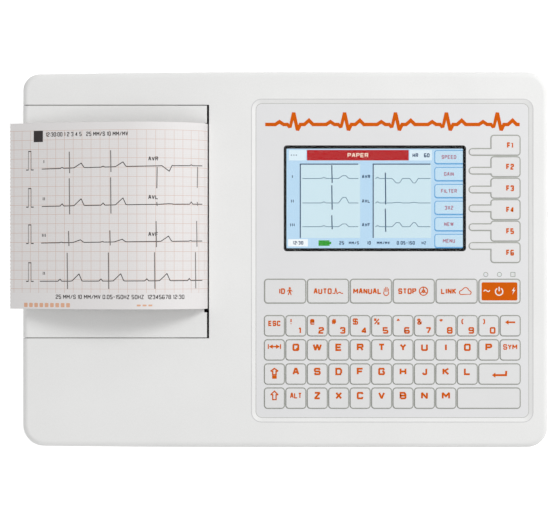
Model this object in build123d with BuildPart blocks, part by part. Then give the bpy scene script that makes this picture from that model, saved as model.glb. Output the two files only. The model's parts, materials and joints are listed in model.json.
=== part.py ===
"""Portable ECG recorder with an alphanumeric keypad, a colour display and a thermal printer.

Frame: +Z up, +X to the user's right, +Y to the rear. The origin is on the table under the
middle of the casing. The deck (the sloping top) is its own workplane: X across, V up the slope,
N out of the deck, so everything that lies in the deck is drawn on DECK and planes below it.
"""

from build123d import *
import os
from math import asin, atan2, cos, hypot, pi, radians, sin, tan

os.makedirs("parts", exist_ok=True)

# ---------------------------------------------------------------- driving dimensions (mm, degrees)
CASE_WIDTH = 285.0
DECK_LENGTH = 204.0
DECK_TILT = 5.0
REAR_HEIGHT = 65.0
PARTING_HEIGHT = 26.0
FOOT_HEIGHT = 2.0
FLOOR_TOP = 4.5
UPPER_WALL = 2.5
LOWER_WALL = 3.0
CORNER_RADIUS = 11.5
REAR_LEFT_RADIUS = 9.0
EDGE_RADIUS = 3.0
REAR_BOW = 1.4
FRONT_BOW = 0.9
CASE_DEPTH = DECK_LENGTH * cos(radians(DECK_TILT))
DECK_HEIGHT = REAR_HEIGHT - CASE_DEPTH / 2 * tan(radians(DECK_TILT))

DECK = Plane(
    origin=(0, 0, DECK_HEIGHT),
    x_dir=(1, 0, 0),
    z_dir=(0, -sin(radians(DECK_TILT)), cos(radians(DECK_TILT))),
)

# Paper door: it slides out to the left with the platen roller.
DOOR_RIGHT = -42.6
COVER_EDGE = -41.4
DOOR_MID = 20.35
DOOR_HALF = 62.8
OPENING_HALF = 63.3
NOTCH_LEFT = -44.1
NOTCH_FRONT = -28.9
NOTCH_REAR = 73.7
SKIRT_OUTER = 62.55
SKIRT_THICK = 2.0
RUNNER_OUTER = 64.55
RUNNER_TOP = 10.1
RUNNER_THICK = 2.0
RUNNER_LEFT = -88.0
RUNNER_RIGHT = -45.5
RAIL_LEFT = -139.5
RAIL_RIGHT = -58.0
RAIL_INNER = 62.85
RAIL_OUTER = 69.6
RAIL_CHANNEL = 64.95
RAIL_BOTTOM = 14.5
RAIL_PLAY = 0.4

# Thermal paper and its path.
PAPER_WIDTH = 100.0
PAPER_MID = 23.2
PAPER_THICK = 0.2
PACK_LENGTH = 75.0
PACK_LEFT = -133.0
PACK_TOP = 27.0
PACK_BOTTOM = 45.4

# Platen and gear train, module 0.75.
PLATEN_X = -49.5
PLATEN_DEPTH = 14.0
PLATEN_RADIUS = 7.0
PLATEN_LENGTH = 102.0
SHAFT_RADIUS = 2.5
GEAR_MODULE = 0.75
PLATEN_TEETH = 24
IDLER_SMALL_TEETH = 12
IDLER_LARGE_TEETH = 20
PINION_TEETH = 10
MESH_PLAY = 0.15
IDLER_X = PLATEN_X + GEAR_MODULE * (PLATEN_TEETH + IDLER_SMALL_TEETH) / 2 + MESH_PLAY
PINION_DEPTH = PLATEN_DEPTH + GEAR_MODULE * (IDLER_LARGE_TEETH + PINION_TEETH) / 2 + MESH_PLAY
PLATEN_GEAR_FRONT = -39.5
PLATEN_GEAR_REAR = -35.5
IDLER_LARGE_REAR = -31.5
PLATE_FRONT = -48.5
PLATE_THICK = 1.6
MOTOR_RADIUS = 17.5
MOTOR_LENGTH = 22.0

# Keypad panel, keys and display, all in deck coordinates.
PANEL_X = 57.9
PANEL_V = -0.8
RECESS_OUTER = (152.6, 174.6)
RECESS_INNER = (148.2, 170.6)
PANEL_SIZE = (147.6, 170.0)
WINDOW_SIZE = (140.2, 162.5)
PANEL_DROP = 0.8
PANEL_THICK = 1.6
SEAT_BOTTOM = 4.0
SEAT_EXTRA = 2.0
KEY_GAP = 0.35
KEY_RADIUS = 1.4
KEY_TOP = 0.5
KEY_BOTTOM = 2.6
FLANGE_TOP = 2.7
FLANGE_BOTTOM = 3.6
FLANGE_LIP = 0.5
STEM_BOTTOM = 5.3
STEM_RADIUS = 2.0
BOARD_TOP = 6.2
BOARD_THICK = 1.6
DOME_RADIUS = 2.5
DOME_HEIGHT = 0.4

SOFT_KEY_SIZE = (15.3, 10.3)
SOFT_KEY_X = 119.25
SOFT_KEY_TOP_V = 61.7
SOFT_KEY_PITCH = 11.64
TONGUE_LEFT = 99.8
TONGUE_HEIGHT = 3.1
TONGUE_SHIFT = 3.6

FUNCTION_KEY_SIZE = (21.8, 12.4)
FUNCTION_KEY_X = -0.2
FUNCTION_KEY_V = -17.4
COLUMN_PITCH = 11.62
KEY_SIZE = (10.3, 10.5)
FIRST_COLUMN_X = -6.0
FIRST_ROW_V = -36.15
ROW_PITCH = 13.08
COLUMNS = 12

DISPLAY_SIZE = (98.9, 57.5)
DISPLAY_X = 48.45
DISPLAY_V = 32.95
ACTIVE_SIZE = (95.8, 54.1)
LED_XS = (108.6, 116.0, 123.3)
LED_V = -8.35
LED_SIZE = 2.0

# Lower casing, boards and sockets, in the world frame.
COLUMN_XS = (-132.0, 0.0, 134.0)
COLUMN_FRONT_Y = -94.3
COLUMN_REAR_Y = 94.3
COLUMN_RADIUS = 3.2
MAIN_BOARD = (146.0, 103.0, 1.6)
MAIN_BOARD_X = 59.0
MAIN_BOARD_Y = 37.5
MAIN_BOARD_Z = 9.0
BATTERY_X = 55.0
BATTERY_Y = -58.5
CELL_RADIUS = 9.25
CELL_LENGTH = 65.0
CELLS = 4
PATIENT_Y = 45.0
PATIENT_Z = 17.0
JACKSCREW_PITCH = 33.3
LAN_X = 70.0
USB_HOST_X = 40.0
USB_DEVICE_X = 18.0
POWER_X = 112.0


def deck(depth):
    """The plane that lies this far under the deck's surface."""
    return DECK.offset(-depth)


def deck_point(x, v, depth):
    """A world point from deck coordinates."""
    return DECK.from_local_coords((x, v, -depth))


def across(v):
    """A plane square to the deck's V direction: its x is X, its y is N, it looks to the front."""
    return Plane(origin=deck_point(0, v, 0), x_dir=(1, 0, 0), z_dir=-DECK.y_dir)


def casing_outline(inset):
    """The casing's plan: straight right half, slightly bowed left half, four round corners."""
    half_width = CASE_WIDTH / 2 - inset
    half_depth = CASE_DEPTH / 2 - inset
    with BuildSketch() as outline:
        with BuildLine():
            TangentArc((0, half_depth), (-half_width, half_depth - REAR_BOW), tangent=(-1, 0))
            Line((-half_width, half_depth - REAR_BOW), (-half_width, FRONT_BOW - half_depth))
            TangentArc((0, -half_depth), (-half_width, FRONT_BOW - half_depth), tangent=(-1, 0))
            Polyline((0, -half_depth), (half_width, -half_depth), (half_width, half_depth), (0, half_depth))
        make_face()
        fillet(outline.vertices().group_by(Axis.X)[-1], radius=CORNER_RADIUS - inset)
        fillet(outline.vertices().group_by(Axis.X)[0].sort_by(Axis.Y)[0], radius=CORNER_RADIUS - inset)
        fillet(outline.vertices().group_by(Axis.X)[0].sort_by(Axis.Y)[-1], radius=REAR_LEFT_RADIUS - inset)
    return outline.sketch


def key_outline(size, grow):
    """One key's rounded rectangle, grown all round by the gap where it is an opening."""
    with BuildSketch() as outline:
        RectangleRounded(size[0] + 2 * grow, size[1] + 2 * grow, KEY_RADIUS + grow)
    return outline.sketch


def soft_key_outline(index, grow):
    """A key beside the display: a box with a tongue that points at its menu entry."""
    tongue_v = TONGUE_SHIFT * (2 * index / 5 - 1)
    box_left = -SOFT_KEY_SIZE[0] / 2
    tongue_left = TONGUE_LEFT - SOFT_KEY_X - grow
    overlap = 2 * KEY_RADIUS
    tongue_length = box_left - tongue_left + overlap
    tongue_height = TONGUE_HEIGHT + 2 * grow
    with BuildSketch() as outline:
        RectangleRounded(SOFT_KEY_SIZE[0] + 2 * grow, SOFT_KEY_SIZE[1] + 2 * grow, KEY_RADIUS + grow)
        with Locations((tongue_left + tongue_length / 2, tongue_v)):
            RectangleRounded(tongue_length, tongue_height, tongue_height * 0.42)
    return outline.sketch


def typing_keys():
    """Every typing key as (x, v, size): 12, 12, 10 and 9 single keys, then the wide ones."""
    keys = []
    for row, singles in enumerate((12, 12, 10, 9)):
        row_v = FIRST_ROW_V - row * ROW_PITCH
        keys += [(FIRST_COLUMN_X + column * COLUMN_PITCH, row_v, KEY_SIZE) for column in range(singles)]
        wide = COLUMNS - singles
        if wide:
            wide_x = FIRST_COLUMN_X + (singles + (wide - 1) / 2) * COLUMN_PITCH
            keys.append((wide_x, row_v, (KEY_SIZE[0] + (wide - 1) * COLUMN_PITCH, KEY_SIZE[1])))
    return keys


def soft_key_place(index):
    return SOFT_KEY_X, SOFT_KEY_TOP_V - index * SOFT_KEY_PITCH


def function_key_place(index):
    return FUNCTION_KEY_X + 2 * index * COLUMN_PITCH, FUNCTION_KEY_V


SOFT_KEYS = [f"key_f{number}" for number in range(1, 7)]
FUNCTION_KEYS = ["key_id", "key_auto", "key_manual", "key_stop", "key_link", "key_power"]


# ---------------------------------------------------------------- upper shell, shared by cover and door
with BuildPart() as upper_cavity:
    with BuildSketch(Plane.XY.offset(PARTING_HEIGHT)):
        add(casing_outline(UPPER_WALL))
    extrude(amount=REAR_HEIGHT)
    split(bisect_by=deck(UPPER_WALL), keep=Keep.BOTTOM)
    with BuildSketch(deck(SEAT_BOTTOM)):
        with Locations((PANEL_X, PANEL_V)):
            Rectangle(RECESS_OUTER[0] + 2 * SEAT_EXTRA, RECESS_OUTER[1] + 2 * SEAT_EXTRA)
    extrude(amount=SEAT_BOTTOM, mode=Mode.SUBTRACT)
    with BuildSketch(Plane.XY.offset(PARTING_HEIGHT)):
        with Locations([(x, y) for x in COLUMN_XS for y in (COLUMN_FRONT_Y, COLUMN_REAR_Y)]):
            Circle(COLUMN_RADIUS)
    extrude(amount=REAR_HEIGHT, mode=Mode.SUBTRACT)

with BuildPart() as upper_shell:
    with BuildSketch(Plane.XY.offset(PARTING_HEIGHT)):
        add(casing_outline(0))
    extrude(amount=REAR_HEIGHT)
    split(bisect_by=DECK, keep=Keep.BOTTOM)
    fillet(upper_shell.faces().filter_by(DECK).edges(), radius=EDGE_RADIUS)
    add(upper_cavity.part, mode=Mode.SUBTRACT)

# ---------------------------------------------------------------- top cover
DOOR_REACH = CASE_WIDTH
RUNNER_SLOT_REACH = UPPER_WALL + 1.0
SHELL_SPAN = 2 * REAR_HEIGHT
CASE_SCREW_PILOT = 1.25
CASE_SCREW_LENGTH = 12.0
RAIL_SCREW_XS = (-132.0, -98.0, -64.0)
RAIL_SCREW_OFFSET = 67.2
RAIL_SCREW_RADIUS = 1.25
PILOT_PLAY = 0.05
BOARD_BOSS_RADIUS = 2.5
BOARD_BOSSES = [(-15.4, -70), (-15.4, -8), (131.0, -70), (131.0, -8), (131.0, 62)]

with BuildPart() as top_cover:
    add(upper_shell.part)
    # Opening for the paper door.
    with BuildSketch(deck(SHELL_SPAN / 2)):
        with Locations((COVER_EDGE, DOOR_MID)):
            Rectangle(DOOR_REACH, 2 * OPENING_HALF, align=(Align.MAX, Align.CENTER))
    extrude(amount=SHELL_SPAN, mode=Mode.SUBTRACT)
    # Slots in the left wall, beside the opening, for the door's runners.
    with BuildSketch(deck(RUNNER_TOP + RUNNER_THICK + RAIL_PLAY)):
        with Locations((-CASE_WIDTH / 2, DOOR_MID)):
            Rectangle(2 * RUNNER_SLOT_REACH, 2 * RAIL_CHANNEL)
    extrude(amount=RUNNER_THICK + 2 * RAIL_PLAY, mode=Mode.SUBTRACT)
    # Recess for the keypad panel: a sloping rim, a straight pocket, then the through window.
    with BuildSketch(DECK):
        with Locations((PANEL_X, PANEL_V)):
            RectangleRounded(*RECESS_OUTER, 5.4)
    with BuildSketch(deck(PANEL_DROP)):
        with Locations((PANEL_X, PANEL_V)):
            RectangleRounded(*RECESS_INNER, 3.5)
    loft(ruled=True, mode=Mode.SUBTRACT)
    with BuildSketch(deck(PANEL_DROP)):
        with Locations((PANEL_X, PANEL_V)):
            RectangleRounded(*RECESS_INNER, 3.5)
    extrude(amount=-PANEL_THICK, mode=Mode.SUBTRACT)
    with BuildSketch(deck(SEAT_BOTTOM)):
        with Locations((PANEL_X - 0.2, PANEL_V)):
            RectangleRounded(*WINDOW_SIZE, 2.0)
    extrude(amount=SEAT_BOTTOM, mode=Mode.SUBTRACT)
    # Bosses that carry the keypad board.
    with BuildSketch(deck(BOARD_TOP)):
        with Locations(BOARD_BOSSES):
            Circle(BOARD_BOSS_RADIUS)
    extrude(amount=BOARD_TOP - SEAT_BOTTOM)
    # Pilot holes: casing screws, door rails and keypad board.
    with BuildSketch(Plane.XY.offset(PARTING_HEIGHT)):
        with Locations([(x, y) for x in COLUMN_XS for y in (COLUMN_FRONT_Y, COLUMN_REAR_Y)]):
            Circle(CASE_SCREW_PILOT + PILOT_PLAY)
    extrude(amount=CASE_SCREW_LENGTH, mode=Mode.SUBTRACT)
    with BuildSketch(deck(UPPER_WALL)):
        with Locations([(x, DOOR_MID + side * RAIL_SCREW_OFFSET) for x in RAIL_SCREW_XS for side in (-1, 1)]):
            Circle(RAIL_SCREW_RADIUS + PILOT_PLAY)
    extrude(amount=1.8, mode=Mode.SUBTRACT)
    with BuildSketch(deck(BOARD_TOP)):
        with Locations(BOARD_BOSSES):
            Circle(1.0 + PILOT_PLAY)
    extrude(amount=2.8, mode=Mode.SUBTRACT)
top_cover.part.label = "top_cover"
export_step(top_cover.part, "parts/top_cover.step")

# ---------------------------------------------------------------- paper door
DOOR_BOTTOM_GAP = 0.4
GRIP_DEPTH = 1.2

with BuildPart() as paper_door:
    add(upper_shell.part)
    with BuildSketch(deck(SHELL_SPAN / 2)):
        with Locations((DOOR_RIGHT, DOOR_MID)):
            Rectangle(DOOR_REACH, 2 * DOOR_HALF, align=(Align.MAX, Align.CENTER))
    extrude(amount=SHELL_SPAN, mode=Mode.INTERSECT)
    split(bisect_by=Plane.XY.offset(PARTING_HEIGHT + DOOR_BOTTOM_GAP), keep=Keep.TOP)
    # Notch for the paper in the right edge.
    with BuildSketch(deck(EDGE_RADIUS)):
        with Locations((NOTCH_LEFT, (NOTCH_FRONT + NOTCH_REAR) / 2)):
            Rectangle(10, NOTCH_REAR - NOTCH_FRONT, align=(Align.MIN, Align.CENTER))
    extrude(amount=2 * EDGE_RADIUS, mode=Mode.SUBTRACT)
    # Two skirts that carry the platen, each with a runner on its outer face.
    for side in (-1, 1):
        skirt_inner = DOOR_MID + side * (SKIRT_OUTER - SKIRT_THICK)
        skirt_outer = DOOR_MID + side * SKIRT_OUTER
        with BuildSketch(across(min(skirt_inner, skirt_outer) + SKIRT_THICK)):
            with BuildLine():
                Polyline(
                    (-CASE_WIDTH / 2 + UPPER_WALL - 0.5, -UPPER_WALL + 0.5),
                    (NOTCH_LEFT - 0.7, -UPPER_WALL + 0.5),
                    (NOTCH_LEFT - 0.7, -PLATEN_DEPTH - 5.5),
                    (PLATEN_X - 6.5, -PLATEN_DEPTH - 5.5),
                    (PLATEN_X - 12.5, -PLATEN_DEPTH - 0.5),
                    (-CASE_WIDTH / 2 + UPPER_WALL - 0.5, -PLATEN_DEPTH - 0.5),
                    close=True,
                )
            make_face()
            with Locations((PLATEN_X, -PLATEN_DEPTH)):
                Circle(4.0, mode=Mode.SUBTRACT)
        extrude(amount=SKIRT_THICK)
        runner_depth = RUNNER_OUTER - SKIRT_OUTER
        with BuildSketch(deck(RUNNER_TOP + RUNNER_THICK)):
            with Locations(((RUNNER_LEFT + RUNNER_RIGHT) / 2, skirt_outer + side * runner_depth / 2)):
                Rectangle(RUNNER_RIGHT - RUNNER_LEFT, runner_depth)
        extrude(amount=RUNNER_THICK)
    # Finger grip: a shallow scoop in the left wall.
    with BuildSketch(Plane.YZ.offset(-CASE_WIDTH / 2)):
        with Locations((DOOR_MID, PARTING_HEIGHT + 12)):
            SlotOverall(46, 10)
    extrude(amount=GRIP_DEPTH, mode=Mode.SUBTRACT)
paper_door.part.label = "paper_door"
export_step(paper_door.part, "parts/paper_door.step")

# ---------------------------------------------------------------- door rails and their screws
with BuildPart() as door_rails:
    for side in (-1, 1):
        with BuildSketch(deck(RAIL_BOTTOM)):
            with Locations(((RAIL_LEFT + RAIL_RIGHT) / 2, DOOR_MID + side * (RAIL_INNER + RAIL_OUTER) / 2)):
                Rectangle(RAIL_RIGHT - RAIL_LEFT, RAIL_OUTER - RAIL_INNER)
        extrude(amount=RAIL_BOTTOM - UPPER_WALL)
        channel = RAIL_CHANNEL - RAIL_INNER
        with BuildSketch(deck(RUNNER_TOP + RUNNER_THICK + RAIL_PLAY)):
            with Locations(((RAIL_LEFT + RAIL_RIGHT) / 2, DOOR_MID + side * (RAIL_INNER + channel / 2))):
                Rectangle(RAIL_RIGHT - RAIL_LEFT, channel)
        extrude(amount=RUNNER_THICK + 2 * RAIL_PLAY, mode=Mode.SUBTRACT)
        with BuildSketch(deck(RAIL_BOTTOM)):
            with Locations([(x, DOOR_MID + side * RAIL_SCREW_OFFSET) for x in RAIL_SCREW_XS]):
                Circle(RAIL_SCREW_RADIUS + PILOT_PLAY)
        extrude(amount=RAIL_BOTTOM, mode=Mode.SUBTRACT)
        with BuildSketch(deck(RAIL_BOTTOM)):
            with Locations([(x, DOOR_MID + side * RAIL_SCREW_OFFSET) for x in RAIL_SCREW_XS]):
                Circle(2.6)
        extrude(amount=2.5, mode=Mode.SUBTRACT)
door_rails.part.label = "door_rails"
export_step(door_rails.part, "parts/door_rails.step")


def pan_screws(plane, points, shank_radius, length, head_radius, head_height, socket_radius):
    """Pan-head screws whose heads sit on the plane, with their shanks along its normal."""
    with BuildPart() as screws:
        with BuildSketch(plane):
            with Locations(points):
                Circle(shank_radius)
        extrude(amount=length)
        with BuildSketch(plane):
            with Locations(points):
                Circle(head_radius)
        extrude(amount=-head_height)
        with BuildSketch(plane.offset(-head_height)):
            with Locations(points):
                RegularPolygon(socket_radius, 6)
        extrude(amount=head_height * 0.6, mode=Mode.SUBTRACT)
    return screws


rail_points = [(x, DOOR_MID + side * RAIL_SCREW_OFFSET) for x in RAIL_SCREW_XS for side in (-1, 1)]
rail_screws = pan_screws(deck(RAIL_BOTTOM - 2.5), rail_points, RAIL_SCREW_RADIUS, 11.2, 2.3, 1.8, 1.1)
rail_screws.part.label = "rail_screws"
export_step(rail_screws.part, "parts/rail_screws.step")

# ---------------------------------------------------------------- platen roller, shaft, bushes
with BuildPart() as platen_roller:
    with BuildSketch(across(PAPER_MID + PLATEN_LENGTH / 2)):
        with Locations((PLATEN_X, -PLATEN_DEPTH)):
            Circle(PLATEN_RADIUS)
            Circle(SHAFT_RADIUS, mode=Mode.SUBTRACT)
    extrude(amount=PLATEN_LENGTH)
    fillet(platen_roller.edges().filter_by(GeomType.CIRCLE).group_by(SortBy.RADIUS)[-1], radius=0.4)
platen_roller.part.label = "platen_roller"
export_step(platen_roller.part, "parts/platen_roller.step")

SHAFT_END = SKIRT_OUTER - 0.3

with BuildPart() as platen_shaft:
    with BuildSketch(across(DOOR_MID + SHAFT_END)):
        with Locations((PLATEN_X, -PLATEN_DEPTH)):
            Circle(SHAFT_RADIUS)
    extrude(amount=2 * SHAFT_END)
    chamfer(platen_shaft.edges().filter_by(GeomType.CIRCLE), length=0.4)
platen_shaft.part.label = "platen_shaft"
export_step(platen_shaft.part, "parts/platen_shaft.step")

with BuildPart() as platen_bushes:
    for bush_rear in (DOOR_MID + SKIRT_OUTER, DOOR_MID - SKIRT_OUTER + SKIRT_THICK):
        with BuildSketch(across(bush_rear)):
            with Locations((PLATEN_X, -PLATEN_DEPTH)):
                Circle(4.0)
                Circle(SHAFT_RADIUS + 0.06, mode=Mode.SUBTRACT)
        extrude(amount=SKIRT_THICK)
platen_bushes.part.label = "platen_bushes"
export_step(platen_bushes.part, "parts/platen_bushes.step")


# ---------------------------------------------------------------- gear train
def gear_outline(teeth, bore_radius, turn):
    """A spur gear's profile: straight-flanked teeth, thinned a little so the train runs freely."""
    pitch_radius = GEAR_MODULE * teeth / 2
    root_radius = pitch_radius - 1.15 * GEAR_MODULE
    tip_radius = pitch_radius + 0.8 * GEAR_MODULE
    half_pitch_width = pitch_radius * pi / (2 * teeth) * 0.86
    half_root_width = half_pitch_width * 1.35
    half_tip_width = half_pitch_width * 0.55
    with BuildSketch() as outline:
        Circle(root_radius)
        with PolarLocations(0, teeth, start_angle=turn):
            with BuildLine():
                Polyline(
                    (root_radius * 0.9, -half_root_width),
                    (root_radius, -half_root_width),
                    (pitch_radius, -half_pitch_width),
                    (tip_radius, -half_tip_width),
                    (tip_radius, half_tip_width),
                    (pitch_radius, half_pitch_width),
                    (root_radius, half_root_width),
                    (root_radius * 0.9, half_root_width),
                    close=True,
                )
            make_face()
        if bore_radius:
            Circle(bore_radius, mode=Mode.SUBTRACT)
    return outline.sketch


with BuildPart() as platen_gear:
    with BuildSketch(across(PLATEN_GEAR_REAR)):
        with Locations((PLATEN_X, -PLATEN_DEPTH)):
            add(gear_outline(PLATEN_TEETH, SHAFT_RADIUS, 0))
    extrude(amount=PLATEN_GEAR_REAR - PLATEN_GEAR_FRONT)
platen_gear.part.label = "platen_gear"
export_step(platen_gear.part, "parts/platen_gear.step")

IDLER_PIN_RADIUS = 1.5

with BuildPart() as idler_gear:
    with BuildSketch(across(PLATEN_GEAR_REAR)):
        with Locations((IDLER_X, -PLATEN_DEPTH)):
            add(gear_outline(IDLER_SMALL_TEETH, IDLER_PIN_RADIUS + 0.06, 180 / IDLER_SMALL_TEETH))
    extrude(amount=PLATEN_GEAR_REAR - PLATEN_GEAR_FRONT)
    with BuildSketch(across(IDLER_LARGE_REAR)):
        with Locations((IDLER_X, -PLATEN_DEPTH)):
            add(gear_outline(IDLER_LARGE_TEETH, IDLER_PIN_RADIUS + 0.06, 0))
    extrude(amount=IDLER_LARGE_REAR - PLATEN_GEAR_REAR)
idler_gear.part.label = "idler_gear"
export_step(idler_gear.part, "parts/idler_gear.step")

MOTOR_SHAFT_RADIUS = 1.5
MOTOR_REAR = PLATE_FRONT

with BuildPart() as motor_pinion:
    with BuildSketch(across(IDLER_LARGE_REAR)):
        with Locations((IDLER_X, -PINION_DEPTH)):
            add(gear_outline(PINION_TEETH, 0, 90 + 180 / PINION_TEETH))
    extrude(amount=IDLER_LARGE_REAR - PLATEN_GEAR_REAR - 0.3)
    with BuildSketch(across(IDLER_LARGE_REAR)):
        with Locations((IDLER_X, -PINION_DEPTH)):
            Circle(MOTOR_SHAFT_RADIUS)
    extrude(amount=IDLER_LARGE_REAR - MOTOR_REAR + MOTOR_LENGTH - 4)
motor_pinion.part.label = "motor_pinion"
export_step(motor_pinion.part, "parts/motor_pinion.step")

with BuildPart() as motor_body:
    with BuildSketch(across(MOTOR_REAR)):
        with Locations((IDLER_X, -PINION_DEPTH)):
            Circle(MOTOR_RADIUS)
    extrude(amount=MOTOR_LENGTH)
    fillet(motor_body.edges().filter_by(GeomType.CIRCLE), radius=1.0)
    with BuildSketch(across(MOTOR_REAR)):
        with Locations((IDLER_X, -PINION_DEPTH)):
            SlotOverall(50, 8)
            Circle(MOTOR_RADIUS - 1)
    extrude(amount=0.8)
    with BuildSketch(across(MOTOR_REAR)):
        with Locations((IDLER_X, -PINION_DEPTH)):
            Circle(MOTOR_SHAFT_RADIUS + 0.07)
    extrude(amount=MOTOR_LENGTH - 3, mode=Mode.SUBTRACT)
    with BuildSketch(across(MOTOR_REAR)):
        with Locations((IDLER_X - 21, -PINION_DEPTH), (IDLER_X + 21, -PINION_DEPTH)):
            Circle(1.6)
    extrude(amount=0.8, mode=Mode.SUBTRACT)
motor_body.part.label = "motor_body"
export_step(motor_body.part, "parts/motor_body.step")

# ---------------------------------------------------------------- motor bracket with the idler pin
BRACKET_BOTTOM = 44.0
FOOT_THICK = 1.6
MOTOR_BRACKET_WIDTH = 34.0
MOTOR_FOOT_XS = (IDLER_X - 12, IDLER_X + 12)
MOTOR_FOOT_V = -41.0
PRINT_FOOT_X = -23.5
PRINT_FOOT_VS = (-15.0, 60.0)
FOOT_SCREW_RADIUS = 1.5

with BuildPart() as motor_bracket:
    with BuildSketch(across(PLATE_FRONT + PLATE_THICK)):
        with Locations((IDLER_X, -(BRACKET_BOTTOM + 6) / 2)):
            Rectangle(MOTOR_BRACKET_WIDTH, BRACKET_BOTTOM - 6)
        with Locations((IDLER_X, -PINION_DEPTH)):
            SlotOverall(50, 8)
            Circle(5, mode=Mode.SUBTRACT)
        with Locations((IDLER_X - 21, -PINION_DEPTH), (IDLER_X + 21, -PINION_DEPTH)):
            Circle(1.6, mode=Mode.SUBTRACT)
    extrude(amount=PLATE_THICK)
    with BuildSketch(deck(BRACKET_BOTTOM)):
        with Locations((IDLER_X, PLATE_FRONT)):
            Rectangle(MOTOR_BRACKET_WIDTH, 13.5, align=(Align.CENTER, Align.MIN))
        with Locations([(x, MOTOR_FOOT_V) for x in MOTOR_FOOT_XS]):
            Circle(FOOT_SCREW_RADIUS + 0.1, mode=Mode.SUBTRACT)
    extrude(amount=FOOT_THICK)
    with BuildSketch(across(IDLER_LARGE_REAR + 0.5)):
        with Locations((IDLER_X, -PLATEN_DEPTH)):
            Circle(IDLER_PIN_RADIUS)
    extrude(amount=IDLER_LARGE_REAR + 0.5 - PLATE_FRONT)
    with BuildSketch(across(PLATEN_GEAR_FRONT - 0.4)):
        with Locations((IDLER_X, -PLATEN_DEPTH)):
            Circle(3)
    extrude(amount=PLATEN_GEAR_FRONT - 0.4 - PLATE_FRONT)
motor_bracket.part.label = "motor_bracket"
export_step(motor_bracket.part, "parts/motor_bracket.step")

motor_points = [(IDLER_X - 21, PINION_DEPTH), (IDLER_X + 21, PINION_DEPTH)]
motor_face = Plane(origin=across(PLATE_FRONT - 0.8).origin, x_dir=(1, 0, 0), z_dir=DECK.y_dir)
motor_screws = pan_screws(motor_face, motor_points, 1.5, 4.0, 2.8, 2.0, 1.2)
motor_screws.part.label = "motor_screws"
export_step(motor_screws.part, "parts/motor_screws.step")

# ---------------------------------------------------------------- thermal print head
HEAD_FACE = -41.9
CERAMIC_THICK = 1.0
HEATSINK_THICK = 6.0
HEAD_LENGTH = 102.4
HEATSINK_BACK = HEAD_FACE + CERAMIC_THICK + HEATSINK_THICK
PLATE_FACE = -31.0

with BuildPart() as head_ceramic:
    with BuildSketch(across(PAPER_MID + HEAD_LENGTH / 2)):
        with Locations((HEAD_FACE, -PLATEN_DEPTH)):
            Rectangle(CERAMIC_THICK, 12, align=(Align.MIN, Align.CENTER))
    extrude(amount=HEAD_LENGTH)
head_ceramic.part.label = "head_ceramic"
export_step(head_ceramic.part, "parts/head_ceramic.step")

with BuildPart() as head_heatsink:
    with BuildSketch(across(PAPER_MID + HEAD_LENGTH / 2)):
        with Locations((HEAD_FACE + CERAMIC_THICK, -PLATEN_DEPTH)):
            Rectangle(HEATSINK_THICK, 16, align=(Align.MIN, Align.CENTER))
        with Locations([(HEATSINK_BACK, -PLATEN_DEPTH + step) for step in (-4, 0, 4)]):
            Rectangle(2 * 2.2, 1.6, mode=Mode.SUBTRACT)
    extrude(amount=HEAD_LENGTH)
head_heatsink.part.label = "head_heatsink"
export_step(head_heatsink.part, "parts/head_heatsink.step")

with BuildPart() as head_springs:
    for spring_v in (PAPER_MID - 34, PAPER_MID, PAPER_MID + 34):
        with BuildSketch(across(spring_v + 5)):
            with BuildLine():
                front = ThreePointArc(
                    (HEATSINK_BACK + 0.05, -PLATEN_DEPTH - 7),
                    (PLATE_FACE - 0.05, -PLATEN_DEPTH),
                    (HEATSINK_BACK + 0.05, -PLATEN_DEPTH + 7),
                )
                back = ThreePointArc(
                    (HEATSINK_BACK + 0.05, -PLATEN_DEPTH - 6.4),
                    (PLATE_FACE - 0.4, -PLATEN_DEPTH),
                    (HEATSINK_BACK + 0.05, -PLATEN_DEPTH + 6.4),
                )
                Line(front @ 0, back @ 0)
                Line(front @ 1, back @ 1)
            make_face()
        extrude(amount=10)
head_springs.part.label = "head_springs"
export_step(head_springs.part, "parts/head_springs.step")

SENSOR_V = 23.0
SENSOR_TOP = 24.0
SHELF_TOP = 28.5

with BuildPart() as print_bracket:
    with BuildSketch(across(PAPER_MID + HEAD_LENGTH / 2)):
        with Locations((PLATE_FACE, -(BRACKET_BOTTOM + 4) / 2)):
            Rectangle(1.5, BRACKET_BOTTOM - 4, align=(Align.MIN, Align.CENTER))
        with Locations((PLATE_FACE, -BRACKET_BOTTOM)):
            Rectangle(13, FOOT_THICK, align=(Align.MIN, Align.MIN))
    extrude(amount=HEAD_LENGTH)
    with BuildSketch(across(SENSOR_V + 7)):
        with Locations((PLATE_FACE + 1, -SHELF_TOP)):
            Rectangle(22, 1.5, align=(Align.MAX, Align.MAX))
    extrude(amount=14)
    with BuildSketch(deck(BRACKET_BOTTOM)):
        with Locations([(PRINT_FOOT_X, v) for v in PRINT_FOOT_VS]):
            Circle(FOOT_SCREW_RADIUS + 0.1)
    extrude(amount=FOOT_THICK, mode=Mode.SUBTRACT)
print_bracket.part.label = "print_bracket"
export_step(print_bracket.part, "parts/print_bracket.step")

with BuildPart() as paper_sensor:
    with BuildSketch(deck(SHELF_TOP)):
        with Locations((-48, SENSOR_V)):
            RectangleRounded(7, 9, 0.8)
    extrude(amount=SHELF_TOP - SENSOR_TOP)
    with BuildSketch(deck(SENSOR_TOP)):
        with Locations((-48, SENSOR_V - 2), (-48, SENSOR_V + 2)):
            Circle(1.0)
    extrude(amount=-1.0, mode=Mode.SUBTRACT)
paper_sensor.part.label = "paper_sensor"
export_step(paper_sensor.part, "parts/paper_sensor.step")

# ---------------------------------------------------------------- paper tray, pack and strip
TRAY_WALL = 1.5
TRAY_PLAY = 1.0
TRAY_TOP = 25.5
TRAY_SCREWS = [(-125, -20), (-66, -20), (-125, 66), (-66, 66)]
PACK_X = PACK_LEFT + PACK_LENGTH / 2

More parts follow.
